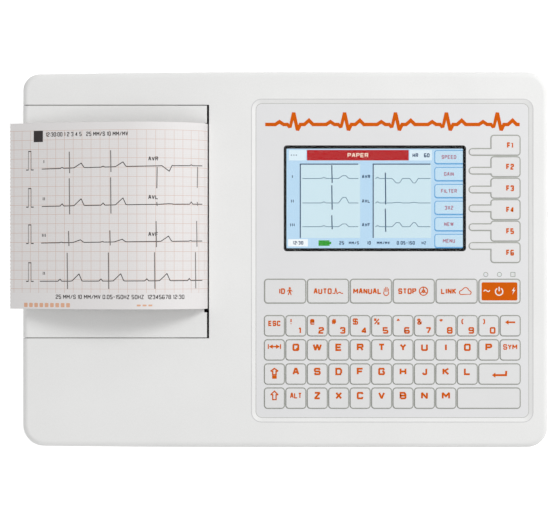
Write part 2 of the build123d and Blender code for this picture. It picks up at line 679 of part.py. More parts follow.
with BuildPart() as paper_tray:
    with BuildSketch(deck(PACK_BOTTOM + TRAY_WALL)):
        with Locations((PACK_X, PAPER_MID)):
            RectangleRounded(
                PACK_LENGTH + 2 * (TRAY_PLAY + TRAY_WALL), PAPER_WIDTH + 2 * (TRAY_PLAY + TRAY_WALL), 2.5
            )
    extrude(amount=PACK_BOTTOM + TRAY_WALL - TRAY_TOP)
    with BuildSketch(deck(PACK_BOTTOM)):
        with Locations((PACK_X, PAPER_MID)):
            RectangleRounded(PACK_LENGTH + 2 * TRAY_PLAY, PAPER_WIDTH + 2 * TRAY_PLAY, 1.0)
    extrude(amount=PACK_BOTTOM, mode=Mode.SUBTRACT)
    # Finger gap in the left wall, for lifting the pack out.
    with BuildSketch(Plane(origin=deck_point(-150, PAPER_MID, TRAY_TOP), x_dir=DECK.y_dir, z_dir=(1, 0, 0))):
        SlotOverall(36, 24)
    extrude(amount=20, mode=Mode.SUBTRACT)
    with BuildSketch(deck(PACK_BOTTOM + TRAY_WALL)):
        with Locations(TRAY_SCREWS):
            Circle(FOOT_SCREW_RADIUS + 0.1)
    extrude(amount=TRAY_WALL, mode=Mode.SUBTRACT)
paper_tray.part.label = "paper_tray"
export_step(paper_tray.part, "parts/paper_tray.step")

SCREW_HEAD_ROOM = 1.7

with BuildPart() as paper_pack:
    with BuildSketch(deck(PACK_BOTTOM - SCREW_HEAD_ROOM)):
        with Locations((PACK_X, PAPER_MID)):
            Rectangle(PACK_LENGTH, PAPER_WIDTH)
    extrude(amount=PACK_BOTTOM - SCREW_HEAD_ROOM - PACK_TOP)
    fillet(paper_pack.edges().filter_by(Axis(DECK.origin, DECK.y_dir)), radius=0.8)
paper_pack.part.label = "paper_pack"
export_step(paper_pack.part, "parts/paper_pack.step")

# The strip's centre line in (X, N): off the pack, under the platen, up past the head, out, arched left.
wrap_radius = PLATEN_RADIUS + 0.2 + PAPER_THICK / 2
pack_exit = (-78.0, -PACK_TOP + 0.15)
to_platen = (PLATEN_X - pack_exit[0], -PLATEN_DEPTH - pack_exit[1])
climb = atan2(to_platen[1], to_platen[0]) - asin(wrap_radius / hypot(*to_platen))
wrap_start = (PLATEN_X + wrap_radius * sin(climb), -PLATEN_DEPTH - wrap_radius * cos(climb))
slot_x = PLATEN_X + wrap_radius
arch_points = [(slot_x, -1.0), (-46.6, 8.6), (-61.6, 16.8), (-84.0, 18.8), (-149.1, 1.3)]

with BuildPart() as paper_strip:
    with BuildSketch(across(PAPER_MID + PAPER_WIDTH / 2)):
        with BuildLine() as centre_line:
            Line(pack_exit, wrap_start)
            TangentArc(wrap_start, (slot_x, -PLATEN_DEPTH), tangent=(cos(climb), sin(climb)))
            Line((slot_x, -PLATEN_DEPTH), arch_points[0])
            heading = Vector(0, 1)
            for begin, end in zip(arch_points, arch_points[1:]):
                arc = TangentArc(begin, end, tangent=heading)
                heading = arc % 1
            offset(amount=PAPER_THICK / 2, side=Side.BOTH)
        make_face()
    extrude(amount=PAPER_WIDTH)
paper_strip.part.label = "paper_strip"
export_step(paper_strip.part, "parts/paper_strip.step")
print("paper strip length", round(paper_strip.part.volume / PAPER_WIDTH / PAPER_THICK, 1))

# ---------------------------------------------------------------- keypad panel
with BuildPart() as keypad_panel:
    with BuildSketch(deck(PANEL_DROP)):
        with Locations((PANEL_X, PANEL_V)):
            RectangleRounded(*PANEL_SIZE, 3.2)
        with Locations((DISPLAY_X, DISPLAY_V)):
            Rectangle(DISPLAY_SIZE[0] + 0.2, DISPLAY_SIZE[1] + 0.2, mode=Mode.SUBTRACT)
        for index in range(len(SOFT_KEYS)):
            with Locations(soft_key_place(index)):
                add(soft_key_outline(index, KEY_GAP), mode=Mode.SUBTRACT)
        for index in range(len(FUNCTION_KEYS)):
            with Locations(function_key_place(index)):
                add(key_outline(FUNCTION_KEY_SIZE, KEY_GAP), mode=Mode.SUBTRACT)
        for key_x, key_v, size in typing_keys():
            with Locations((key_x, key_v)):
                add(key_outline(size, KEY_GAP), mode=Mode.SUBTRACT)
        with Locations([(x, LED_V) for x in LED_XS[:2]]):
            Circle(LED_SIZE / 2 + 0.05, mode=Mode.SUBTRACT)
        with Locations((LED_XS[2], LED_V)):
            Rectangle(LED_SIZE + 0.1, LED_SIZE + 0.1, mode=Mode.SUBTRACT)
    extrude(amount=-PANEL_THICK)
keypad_panel.part.label = "keypad_panel"
export_step(keypad_panel.part, "parts/keypad_panel.step")

with BuildPart() as led_lenses:
    with BuildSketch(deck(PANEL_DROP)):
        with Locations([(x, LED_V) for x in LED_XS[:2]]):
            Circle(LED_SIZE / 2)
        with Locations((LED_XS[2], LED_V)):
            Rectangle(LED_SIZE, LED_SIZE)
    extrude(amount=-PANEL_THICK)
led_lenses.part.label = "led_lenses"
export_step(led_lenses.part, "parts/led_lenses.step")


# ---------------------------------------------------------------- moving keys
def moving_key(place, cap_outline, flange_size):
    """A key cap with its retaining flange under the panel and its stem over the dome."""
    with BuildPart() as key:
        with BuildSketch(deck(KEY_TOP)):
            with Locations(place):
                add(cap_outline)
        extrude(amount=-(KEY_BOTTOM - KEY_TOP))
        fillet(key.faces().filter_by(DECK).sort_by(Axis(DECK.origin, DECK.z_dir))[-1].edges(), radius=0.3)
        with BuildSketch(deck(FLANGE_TOP)):
            with Locations(place):
                Rectangle(*flange_size)
        extrude(amount=-(FLANGE_BOTTOM - FLANGE_TOP))
        with BuildSketch(deck(KEY_BOTTOM)):
            with Locations(place):
                Circle(STEM_RADIUS)
        extrude(amount=-(STEM_BOTTOM - KEY_BOTTOM))
    return key


for index, key_name in enumerate(SOFT_KEYS):
    flange_size = (SOFT_KEY_SIZE[0] + 2 * FLANGE_LIP, SOFT_KEY_SIZE[1] - 2)
    key = moving_key(soft_key_place(index), soft_key_outline(index, 0), flange_size)
    key.part.label = key_name
    export_step(key.part, f"parts/{key_name}.step")

for index, key_name in enumerate(FUNCTION_KEYS):
    flange_size = (FUNCTION_KEY_SIZE[0] - 2, FUNCTION_KEY_SIZE[1] + 2 * (KEY_GAP + FLANGE_LIP))
    key = moving_key(function_key_place(index), key_outline(FUNCTION_KEY_SIZE, 0), flange_size)
    key.part.label = key_name
    export_step(key.part, f"parts/{key_name}.step")

# ---------------------------------------------------------------- typing keys: one moulded silicone mat
MAT_MARGIN = 0.8

with BuildPart() as keyboard_mat:
    mat_v = FIRST_ROW_V - 1.5 * ROW_PITCH
    mat_x = FIRST_COLUMN_X + (COLUMNS - 1) / 2 * COLUMN_PITCH
    mat_size = (
        (COLUMNS - 1) * COLUMN_PITCH + KEY_SIZE[0] + 2 * MAT_MARGIN,
        3 * ROW_PITCH + KEY_SIZE[1] + 2 * MAT_MARGIN,
    )
    with BuildSketch(deck(FLANGE_BOTTOM)):
        with Locations((mat_x, mat_v)):
            RectangleRounded(*mat_size, 2.5)
    extrude(amount=FLANGE_BOTTOM - FLANGE_TOP)
    with BuildSketch(deck(KEY_TOP)):
        for key_x, key_v, size in typing_keys():
            with Locations((key_x, key_v)):
                add(key_outline(size, 0))
    extrude(amount=-(FLANGE_TOP - KEY_TOP))
    with BuildSketch(deck(STEM_BOTTOM)):
        with Locations([(x, v) for x, v, _ in typing_keys()]):
            Circle(STEM_RADIUS)
    extrude(amount=STEM_BOTTOM - FLANGE_BOTTOM)
keyboard_mat.part.label = "keyboard_mat"
export_step(keyboard_mat.part, "parts/keyboard_mat.step")

# ---------------------------------------------------------------- keypad board and its domes
key_places = [soft_key_place(index) for index in range(6)]
key_places += [function_key_place(index) for index in range(6)]
key_places += [(x, v) for x, v, _ in typing_keys()]

with BuildPart() as key_domes:
    with BuildSketch(deck(BOARD_TOP)):
        with Locations(key_places):
            Circle(DOME_RADIUS)
    extrude(amount=DOME_HEIGHT)
key_domes.part.label = "key_domes"
export_step(key_domes.part, "parts/key_domes.step")

with BuildPart() as keypad_board:
    with BuildSketch(deck(BOARD_TOP)):
        with Locations((PANEL_X, -45)):
            Rectangle(151.6, 82)
        with Locations((133.7, -4.5)):
            Rectangle(29.7, 76.5, align=(Align.MAX, Align.MIN))
        with Locations(BOARD_BOSSES):
            Circle(1.1, mode=Mode.SUBTRACT)
    extrude(amount=-BOARD_THICK)
keypad_board.part.label = "keypad_board"
export_step(keypad_board.part, "parts/keypad_board.step")

board_screw_plane = Plane(
    origin=deck_point(0, 0, BOARD_TOP + BOARD_THICK), x_dir=(1, 0, 0), z_dir=DECK.z_dir
)
keypad_screws = pan_screws(board_screw_plane, BOARD_BOSSES, 1.0, 4.2, 2.0, 1.5, 0.9)
keypad_screws.part.label = "keypad_screws"
export_step(keypad_screws.part, "parts/keypad_screws.step")

# ---------------------------------------------------------------- display
with BuildPart() as display_window:
    with BuildSketch(deck(PANEL_DROP + 0.1)):
        with Locations((DISPLAY_X, DISPLAY_V)):
            RectangleRounded(*DISPLAY_SIZE, 0.8)
    extrude(amount=-(PANEL_THICK - 0.1))
display_window.part.label = "display_window"
export_step(display_window.part, "parts/display_window.step")

with BuildPart() as display_gasket:
    with BuildSketch(deck(PANEL_DROP + PANEL_THICK)):
        with Locations((DISPLAY_X, DISPLAY_V)):
            Rectangle(DISPLAY_SIZE[0] + 1.6, DISPLAY_SIZE[1] + 4)
            Rectangle(ACTIVE_SIZE[0] + 0.6, ACTIVE_SIZE[1] + 0.6, mode=Mode.SUBTRACT)
    extrude(amount=-0.8)
display_gasket.part.label = "display_gasket"
export_step(display_gasket.part, "parts/display_gasket.step")

with BuildPart() as lcd_module:
    with BuildSketch(deck(PANEL_DROP + PANEL_THICK + 0.8)):
        with Locations((DISPLAY_X, DISPLAY_V)):
            RectangleRounded(105.5, 67.2, 0.5)
    extrude(amount=-3.0)
lcd_module.part.label = "lcd_module"
export_step(lcd_module.part, "parts/lcd_module.step")

# ---------------------------------------------------------------- bottom cover
LOWER_COLUMN_RADIUS = 4.2
CASE_SCREW_HEAD_Z = 16.0
LIP_OUTER = UPPER_WALL + 0.1
LIP_INNER = LIP_OUTER + 1.2
LIP_RISE = 2.0
BOSS_RADIUS = 3.0
PILOT_RADIUS = FOOT_SCREW_RADIUS + PILOT_PLAY
PILOT_DEPTH = 4.2
TRAY_SEAT = PACK_BOTTOM + TRAY_WALL
BOARD_TOP_Z = MAIN_BOARD_Z + MAIN_BOARD[2]
BOARD_HOLES = [(-8, -8), (126, -8), (-8, 83), (126, 83)]
BRACKET_SCREWS = [(x, MOTOR_FOOT_V) for x in MOTOR_FOOT_XS] + [(PRINT_FOOT_X, v) for v in PRINT_FOOT_VS]
CASE_COLUMNS = [(x, y) for x in COLUMN_XS for y in (COLUMN_FRONT_Y, COLUMN_REAR_Y)]
BATTERY_OPENING = (76.0, 67.0)
BATTERY_RECESS = (82.0, 81.0)
BATTERY_RECESS_DEPTH = 1.2
BATTERY_RECESS_Y = BATTERY_Y - BATTERY_OPENING[1] / 2 - 3.0
BATTERY_SCREWS = [(BATTERY_X - 30, -19.5), (BATTERY_X + 30, -19.5)]
BATTERY_SCREW_RADIUS = 1.25
LAN_SIZE = (16.0, 21.0, 13.5)
USB_HOST_SIZE = (14.5, 16.0, 7.0)
USB_DEVICE_SIZE = (12.0, 16.0, 11.0)
POWER_SIZE = (9.0, 14.0, 11.0)
SOCKET_PLAY = 0.4
SOCKETS = [(LAN_X, LAN_SIZE), (USB_HOST_X, USB_HOST_SIZE), (USB_DEVICE_X, USB_DEVICE_SIZE), (POWER_X, POWER_SIZE)]
CONNECTOR_SHELL = (25.0, 8.4)
CONNECTOR_FLANGE = (39.2, 12.5)
CONNECTOR_FLANGE_THICK = 0.8
JACKSCREW_RADIUS = 1.4
DOOR_CLEAR = 2.0

with BuildPart() as lower_cavity:
    with BuildSketch(Plane.XY.offset(FLOOR_TOP)):
        add(casing_outline(LOWER_WALL))
    extrude(amount=PARTING_HEIGHT)
    with BuildSketch(Plane.XY.offset(FLOOR_TOP)):
        with Locations(CASE_COLUMNS):
            Circle(LOWER_COLUMN_RADIUS)
    extrude(amount=PARTING_HEIGHT, mode=Mode.SUBTRACT)

# Tilted bosses under the tray and the two brackets, level ones under the main board.
with BuildPart() as floor_bosses:
    with BuildSketch(deck(TRAY_SEAT)):
        with Locations(TRAY_SCREWS):
            Circle(BOSS_RADIUS)
    extrude(amount=-SHELL_SPAN / 4)
    with BuildSketch(deck(BRACKET_BOTTOM)):
        with Locations(BRACKET_SCREWS):
            Circle(BOSS_RADIUS)
    extrude(amount=-SHELL_SPAN / 4)
    with BuildSketch(Plane.XY):
        with Locations(BOARD_HOLES):
            Circle(BOSS_RADIUS)
    extrude(amount=MAIN_BOARD_Z)
    split(bisect_by=Plane.XY.offset(FLOOR_TOP - 0.5), keep=Keep.TOP)

with BuildPart() as bottom_cover:
    with BuildSketch(Plane.XY.offset(FOOT_HEIGHT)):
        add(casing_outline(0))
    extrude(amount=PARTING_HEIGHT - FOOT_HEIGHT)
    fillet(bottom_cover.faces().sort_by(Axis.Z)[0].edges(), radius=EDGE_RADIUS - 1)
    add(lower_cavity.part, mode=Mode.SUBTRACT)
    # Lip that locates the top cover, left out where the door slides and round the columns.
    with BuildSketch(Plane.XY.offset(PARTING_HEIGHT - LIP_RISE)):
        add(casing_outline(LIP_OUTER))
        add(casing_outline(LIP_INNER), mode=Mode.SUBTRACT)
        with Locations((-CASE_WIDTH / 2, DOOR_MID)):
            Rectangle(30, 2 * (OPENING_HALF + DOOR_CLEAR), mode=Mode.SUBTRACT)
        with Locations(CASE_COLUMNS):
            Circle(LOWER_COLUMN_RADIUS, mode=Mode.SUBTRACT)
    extrude(amount=2 * LIP_RISE)
    add(floor_bosses.part)
    with BuildSketch(deck(TRAY_SEAT)):
        with Locations(TRAY_SCREWS):
            Circle(PILOT_RADIUS)
    extrude(amount=-PILOT_DEPTH, mode=Mode.SUBTRACT)
    with BuildSketch(deck(BRACKET_BOTTOM)):
        with Locations(BRACKET_SCREWS):
            Circle(PILOT_RADIUS)
    extrude(amount=-PILOT_DEPTH, mode=Mode.SUBTRACT)
    with BuildSketch(Plane.XY.offset(MAIN_BOARD_Z)):
        with Locations(BOARD_HOLES):
            Circle(PILOT_RADIUS)
    extrude(amount=-PILOT_DEPTH, mode=Mode.SUBTRACT)
    # Battery bay: a rim round the opening, bosses for the cover's screws, the recess and the opening.
    with BuildSketch(Plane.XY.offset(FLOOR_TOP)):
        with Locations((BATTERY_X, BATTERY_Y)):
            Rectangle(BATTERY_OPENING[0] + 3, BATTERY_OPENING[1] + 3)
    extrude(amount=14)
    with BuildSketch(Plane.XY.offset(FLOOR_TOP)):
        with Locations(BATTERY_SCREWS):
            Circle(BOSS_RADIUS)
    extrude(amount=4)
    with BuildSketch(Plane.XY.offset(FOOT_HEIGHT)):
        with Locations((BATTERY_X, BATTERY_Y)):
            Rectangle(*BATTERY_OPENING)
    extrude(amount=PARTING_HEIGHT, mode=Mode.SUBTRACT)
    with BuildSketch(Plane.XY.offset(FOOT_HEIGHT)):
        with Locations((BATTERY_X, BATTERY_RECESS_Y)):
            Rectangle(*BATTERY_RECESS, align=(Align.CENTER, Align.MIN))
    extrude(amount=BATTERY_RECESS_DEPTH, mode=Mode.SUBTRACT)
    with BuildSketch(Plane.XY.offset(FOOT_HEIGHT)):
        with Locations(BATTERY_SCREWS):
            Circle(BATTERY_SCREW_RADIUS + PILOT_PLAY)
    extrude(amount=5.5, mode=Mode.SUBTRACT)
    # Casing screws come up through the columns.
    with BuildSketch(Plane.XY):
        with Locations(CASE_COLUMNS):
            Circle(CASE_SCREW_PILOT + 0.35)
    extrude(amount=PARTING_HEIGHT, mode=Mode.SUBTRACT)
    with BuildSketch(Plane.XY):
        with Locations(CASE_COLUMNS):
            Circle(2.9)
    extrude(amount=CASE_SCREW_HEAD_Z, mode=Mode.SUBTRACT)
    # Rear wall: one cut-out for each socket.
    for socket_x, size in SOCKETS:
        with BuildSketch(Plane.XZ.offset(-CASE_DEPTH / 2)):
            with Locations((socket_x, BOARD_TOP_Z + size[2] / 2)):
                Rectangle(size[0] + SOCKET_PLAY, size[2] + SOCKET_PLAY)
        extrude(amount=LOWER_WALL + 1, mode=Mode.SUBTRACT)
    # Right wall: the patient connector's shell and its two jackscrews.
    with BuildSketch(Plane.YZ.offset(CASE_WIDTH / 2)):
        with Locations((PATIENT_Y, PATIENT_Z)):
            RectangleRounded(CONNECTOR_SHELL[0] + 1, CONNECTOR_SHELL[1] + 1, 2.0)
            with GridLocations(JACKSCREW_PITCH, 1, 2, 1):
                Circle(JACKSCREW_RADIUS + 0.2)
    extrude(amount=-LOWER_WALL - 1, mode=Mode.SUBTRACT)
bottom_cover.part.label = "bottom_cover"
export_step(bottom_cover.part, "parts/bottom_cover.step")

case_screws = pan_screws(
    Plane.XY.offset(CASE_SCREW_HEAD_Z), CASE_COLUMNS, CASE_SCREW_PILOT, 20.0, 2.6, 2.2, 1.3
)
case_screws.part.label = "case_screws"
export_step(case_screws.part, "parts/case_screws.step")

with BuildPart() as feet:
    with BuildSketch(Plane.XY):
        with GridLocations(236, 166, 2, 2):
            Circle(7.0)
    extrude(amount=FOOT_HEIGHT)
    fillet(feet.edges().group_by(Axis.Z)[0], radius=0.5)
feet.part.label = "feet"
export_step(feet.part, "parts/feet.step")

# ---------------------------------------------------------------- battery
with BuildPart() as battery_pack:
    with BuildSketch(Plane.XZ.offset(-BATTERY_Y - CELL_LENGTH / 2)):
        with Locations((BATTERY_X, FLOOR_TOP + CELL_RADIUS + 0.2)):
            with GridLocations(2 * CELL_RADIUS, 1, CELLS, 1):
                Circle(CELL_RADIUS)
            Rectangle((2 * CELLS - 1) * CELL_RADIUS, 1.6 * CELL_RADIUS)
    extrude(amount=CELL_LENGTH)
battery_pack.part.label = "battery_pack"
export_step(battery_pack.part, "parts/battery_pack.step")

with BuildPart() as battery_cover:
    with BuildSketch(Plane.XY.offset(FOOT_HEIGHT)):
        with Locations((BATTERY_X, BATTERY_RECESS_Y + 0.3)):
            Rectangle(BATTERY_RECESS[0] - 0.6, BATTERY_RECESS[1] - 0.6, align=(Align.CENTER, Align.MIN))
    extrude(amount=BATTERY_RECESS_DEPTH)
    with BuildSketch(Plane.XY.offset(FOOT_HEIGHT)):
        with Locations((BATTERY_X, BATTERY_Y)):
            Rectangle(BATTERY_OPENING[0] - 0.6, BATTERY_OPENING[1] - 0.6)
    extrude(amount=FLOOR_TOP - FOOT_HEIGHT)
    with Locations([(x, y, FOOT_HEIGHT) for x, y in BATTERY_SCREWS]):
        Cone(2.6, 1.4, BATTERY_RECESS_DEPTH, align=(Align.CENTER, Align.CENTER, Align.MIN), mode=Mode.SUBTRACT)
battery_cover.part.label = "battery_cover"
export_step(battery_cover.part, "parts/battery_cover.step")

with BuildPart() as battery_screws:
    with Locations([(x, y, FOOT_HEIGHT) for x, y in BATTERY_SCREWS]):
        Cone(2.5, 1.3, BATTERY_RECESS_DEPTH, align=(Align.CENTER, Align.CENTER, Align.MIN))
        Cylinder(BATTERY_SCREW_RADIUS, 5.2, align=(Align.CENTER, Align.CENTER, Align.MIN))
    with BuildSketch(Plane.XY.offset(FOOT_HEIGHT)):
        with Locations(BATTERY_SCREWS):
            RegularPolygon(1.0, 6)
    extrude(amount=0.7, mode=Mode.SUBTRACT)
battery_screws.part.label = "battery_screws"
export_step(battery_screws.part, "parts/battery_screws.step")

# ---------------------------------------------------------------- screws of the tray, brackets and board
def facing_down(depth):
    """A plane on the deck's slope that looks down; its y runs to the front."""
    return Plane(origin=deck_point(0, 0, depth), x_dir=(1, 0, 0), z_dir=-DECK.z_dir)


tray_points = [(x, -v) for x, v in TRAY_SCREWS]
foot_points = [(x, -v) for x, v in BRACKET_SCREWS]
board_face = Plane(origin=(0, 0, BOARD_TOP_Z), x_dir=(1, 0, 0), z_dir=(0, 0, -1))
board_points = [(x, -y) for x, y in BOARD_HOLES]
M3_SHAPE = (FOOT_SCREW_RADIUS, 5.0, 2.7, SCREW_HEAD_ROOM, 1.2)
tray_set = pan_screws(facing_down(PACK_BOTTOM), tray_points, *M3_SHAPE)
foot_set = pan_screws(facing_down(BRACKET_BOTTOM - FOOT_THICK), foot_points, *M3_SHAPE)
board_set = pan_screws(board_face, board_points, *M3_SHAPE)
with BuildPart() as chassis_screws:
    add(tray_set.part)
    add(foot_set.part)
    add(board_set.part)
chassis_screws.part.label = "chassis_screws"
export_step(chassis_screws.part, "parts/chassis_screws.step")

# ---------------------------------------------------------------- main board and what stands on it
RIBBONS = [(40.0, 30.0, 16.0, 6.2), (112.0, 4.0, 14.0, BOARD_TOP + BOARD_THICK)]
RIBBON_THICK = 0.3
RIBBON_SWAY = 4.0
RIBBON_SOCKET_HEIGHT = 2.0
CHIPS = [
    (20, 20, 14, 14, 1.4),
    (40, 8, 10, 8, 1.0),
    (20, 45, 12, 12, 1.2),
    (60, 50, 8, 8, 1.0),
    (112, 78, 12, 8, 6.0),
    (90, 78, 8, 8, 4.0),
    (60, 8, 7, 12, 1.0),
]

with BuildPart() as main_board:
    with BuildSketch(Plane.XY.offset(MAIN_BOARD_Z)):
        with Locations((MAIN_BOARD_X, MAIN_BOARD_Y)):
            RectangleRounded(MAIN_BOARD[0], MAIN_BOARD[1], 1.5)
        with Locations(BOARD_HOLES):
            Circle(FOOT_SCREW_RADIUS + 0.1, mode=Mode.SUBTRACT)
    extrude(amount=MAIN_BOARD[2])
main_board.part.label = "main_board"
export_step(main_board.part, "parts/main_board.step")

with BuildPart() as board_chips:
    for chip_x, chip_y, chip_w, chip_d, chip_h in CHIPS:
        with Locations((chip_x, chip_y, BOARD_TOP_Z)):
            Box(chip_w, chip_d, chip_h, align=(Align.CENTER, Align.CENTER, Align.MIN))
    for ribbon_x, ribbon_y, ribbon_width, _ in RIBBONS:
        with Locations((ribbon_x, ribbon_y, BOARD_TOP_Z)):
            Box(4.5, ribbon_width + 4, RIBBON_SOCKET_HEIGHT, align=(Align.CENTER, Align.CENTER, Align.MIN))
board_chips.part.label = "board_chips"
export_step(board_chips.part, "parts/board_chips.step")

with BuildPart() as ribbon_cables:
    for ribbon_x, ribbon_y, ribbon_width, depth in RIBBONS:
        low = BOARD_TOP_Z + RIBBON_SOCKET_HEIGHT + RIBBON_THICK
        slope = radians(DECK_TILT)
        high = DECK_HEIGHT + (ribbon_y - ribbon_width / 2) * tan(slope) - depth / cos(slope) - RIBBON_THICK
        rise = (high - low) / 4
        route = [
            (ribbon_x, high),
            (ribbon_x - RIBBON_SWAY, high - rise),
            (ribbon_x - RIBBON_SWAY, low + rise),
            (ribbon_x, low),
        ]
        with BuildSketch(Plane.XZ.offset(-ribbon_y - ribbon_width / 2)):
            with BuildLine():
                heading = Vector(0, -1)
                for begin, end in zip(route, route[1:]):
                    arc = TangentArc(begin, end, tangent=heading)
                    heading = arc % 1
                offset(amount=RIBBON_THICK / 2, side=Side.BOTH)
            make_face()
        extrude(amount=ribbon_width)
ribbon_cables.part.label = "ribbon_cables"
export_step(ribbon_cables.part, "parts/ribbon_cables.step")

with BuildPart() as shield_can:
    with BuildSketch(Plane.XY.offset(BOARD_TOP_Z)):
        with Locations((100, PATIENT_Y)):
            RectangleRounded(36, 44, 1.0)
    extrude(amount=5)
    with BuildSketch(Plane.XY.offset(BOARD_TOP_Z)):
        with Locations((100, PATIENT_Y)):
            Rectangle(35, 43)
    extrude(amount=4.5, mode=Mode.SUBTRACT)
shield_can.part.label = "shield_can"
export_step(shield_can.part, "parts/shield_can.step")

with BuildPart() as buzzer:
    with BuildSketch(Plane.XY.offset(BOARD_TOP_Z)):
        with Locations((4, 8)):
            Circle(6.0)
    extrude(amount=8)
    with BuildSketch(Plane.XY.offset(BOARD_TOP_Z + 8)):
        with Locations((4, 8)):
            Circle(1.0)
    extrude(amount=-3, mode=Mode.SUBTRACT)
buzzer.part.label = "buzzer"
export_step(buzzer.part, "parts/buzzer.step")

# ---------------------------------------------------------------- patient connector, 15-way, with jackscrews
WALL_INNER_X = CASE_WIDTH / 2 - LOWER_WALL
FLANGE_INNER_X = WALL_INNER_X - CONNECTOR_FLANGE_THICK
SHELL_OUT = 2.0
PIN_PITCH = 2.77
PIN_ROW_PITCH = 2.84

with BuildPart() as patient_connector:
    with BuildSketch(Plane.YZ.offset(FLANGE_INNER_X)):
        with Locations((PATIENT_Y, PATIENT_Z)):
            RectangleRounded(*CONNECTOR_FLANGE, 1.0)
            with GridLocations(JACKSCREW_PITCH, 1, 2, 1):
                Circle(JACKSCREW_RADIUS + 0.1, mode=Mode.SUBTRACT)
    extrude(amount=CONNECTOR_FLANGE_THICK)
    with BuildSketch(Plane.YZ.offset(FLANGE_INNER_X - 10)):
        with Locations((PATIENT_Y, PATIENT_Z)):
            Rectangle(26, 12)
    extrude(amount=10)
    with BuildSketch(Plane.YZ.offset(WALL_INNER_X)):
        with Locations((PATIENT_Y, PATIENT_Z)):
            RectangleRounded(*CONNECTOR_SHELL, 1.8)
    extrude(amount=LOWER_WALL + SHELL_OUT)
    with BuildSketch(Plane.YZ.offset(CASE_WIDTH / 2 + SHELL_OUT)):
        with Locations((PATIENT_Y, PATIENT_Z + PIN_ROW_PITCH / 2)):
            with GridLocations(PIN_PITCH, 1, 8, 1):
                Circle(0.6)
        with Locations((PATIENT_Y, PATIENT_Z - PIN_ROW_PITCH / 2)):
            with GridLocations(PIN_PITCH, 1, 7, 1):
                Circle(0.6)
    extrude(amount=-4, mode=Mode.SUBTRACT)
patient_connector.part.label = "patient_connector"
export_step(patient_connector.part, "parts/patient_connector.step")

JACKSCREW_HEX = 2.9
JACKSCREW_HEAD = 5.0
JACKSCREW_THREAD = 1.42

with BuildPart() as jackscrews:
    with BuildSketch(Plane.YZ.offset(CASE_WIDTH / 2)):
        with Locations((PATIENT_Y, PATIENT_Z)):
            with GridLocations(JACKSCREW_PITCH, 1, 2, 1):
                RegularPolygon(JACKSCREW_HEX, 6)
    extrude(amount=JACKSCREW_HEAD)
    with BuildSketch(Plane.YZ.offset(FLANGE_INNER_X - 1)):
        with Locations((PATIENT_Y, PATIENT_Z)):
            with GridLocations(JACKSCREW_PITCH, 1, 2, 1):
                Circle(JACKSCREW_RADIUS)
    extrude(amount=LOWER_WALL + CONNECTOR_FLANGE_THICK + 1)
    with BuildSketch(Plane.YZ.offset(CASE_WIDTH / 2 + JACKSCREW_HEAD)):
        with Locations((PATIENT_Y, PATIENT_Z)):
            with GridLocations(JACKSCREW_PITCH, 1, 2, 1):
                Circle(JACKSCREW_THREAD)
    extrude(amount=-JACKSCREW_HEAD + 0.5, mode=Mode.SUBTRACT)
jackscrews.part.label = "jackscrews"
export_step(jackscrews.part, "parts/jackscrews.step")


# ---------------------------------------------------------------- rear sockets
def socket_block(x, size, mouth, mouth_z, mouth_depth, tongue, tongue_depth):
    """A board socket flush with the rear wall: a block with a mouth and a contact tongue in it."""
    rear = CASE_DEPTH / 2
    with BuildPart() as socket:
        with Locations((x, rear, BOARD_TOP_Z)):
            Box(*size, align=(Align.CENTER, Align.MAX, Align.MIN))
        with Locations((x, rear, BOARD_TOP_Z + mouth_z)):
            Box(mouth[0], mouth_depth, mouth[1], align=(Align.CENTER, Align.MAX, Align.CENTER), mode=Mode.SUBTRACT)
        with Locations((x, rear - mouth_depth, BOARD_TOP_Z + mouth_z)):
            Box(tongue[0], tongue_depth, tongue[1], align=(Align.CENTER, Align.MIN, Align.CENTER))
    return socket


usb_host_port = socket_block(USB_HOST_X, USB_HOST_SIZE, (12.5, 5.1), 3.5, 11.0, (11.1, 1.9), 9.5)
usb_host_port.part.label = "usb_host_port"
export_step(usb_host_port.part, "parts/usb_host_port.step")

usb_device_port = socket_block(USB_DEVICE_X, USB_DEVICE_SIZE, (8.6, 7.9), 5.5, 10.0, (5.6, 3.2), 8.0)
usb_device_port.part.label = "usb_device_port"
export_step(usb_device_port.part, "parts/usb_device_port.step")

LAN_MOUTH = (11.8, 8.0)
LAN_MOUTH_Z = 7.5
LAN_DEPTH = 14.0

with BuildPart() as lan_port:
    with Locations((LAN_X, CASE_DEPTH / 2, BOARD_TOP_Z)):
        Box(*LAN_SIZE, align=(Align.CENTER, Align.MAX, Align.MIN))
    with Locations((LAN_X, CASE_DEPTH / 2, BOARD_TOP_Z + LAN_MOUTH_Z)):
        Box(LAN_MOUTH[0], LAN_DEPTH, LAN_MOUTH[1], align=(Align.CENTER, Align.MAX, Align.CENTER), mode=Mode.SUBTRACT)
    with Locations((LAN_X, CASE_DEPTH / 2, BOARD_TOP_Z + LAN_MOUTH_Z - LAN_MOUTH[1] / 2)):
        Box(6.0, LAN_DEPTH, 2.0, align=(Align.CENTER, Align.MAX, Align.MAX), mode=Mode.SUBTRACT)
lan_port.part.label = "lan_port"
export_step(lan_port.part, "parts/lan_port.step")

with BuildPart() as dc_inlet:
    with Locations((POWER_X, CASE_DEPTH / 2, BOARD_TOP_Z)):
        Box(*POWER_SIZE, align=(Align.CENTER, Align.MAX, Align.MIN))
    with BuildSketch(Plane.XZ.offset(-CASE_DEPTH / 2)):
        with Locations((POWER_X, BOARD_TOP_Z + 6)):
            Circle(3.2)
            Circle(1.05, mode=Mode.SUBTRACT)
    extrude(amount=9, mode=Mode.SUBTRACT)
dc_inlet.part.label = "dc_inlet"
export_step(dc_inlet.part, "parts/dc_inlet.step")
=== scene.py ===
"""Looks of a portable ECG recorder: legends, screen picture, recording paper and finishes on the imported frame."""
import json
from bisect import bisect_right
from math import atan2, cos, hypot, pi, sin

import bmesh
import bpy
from mathutils import Matrix, Vector


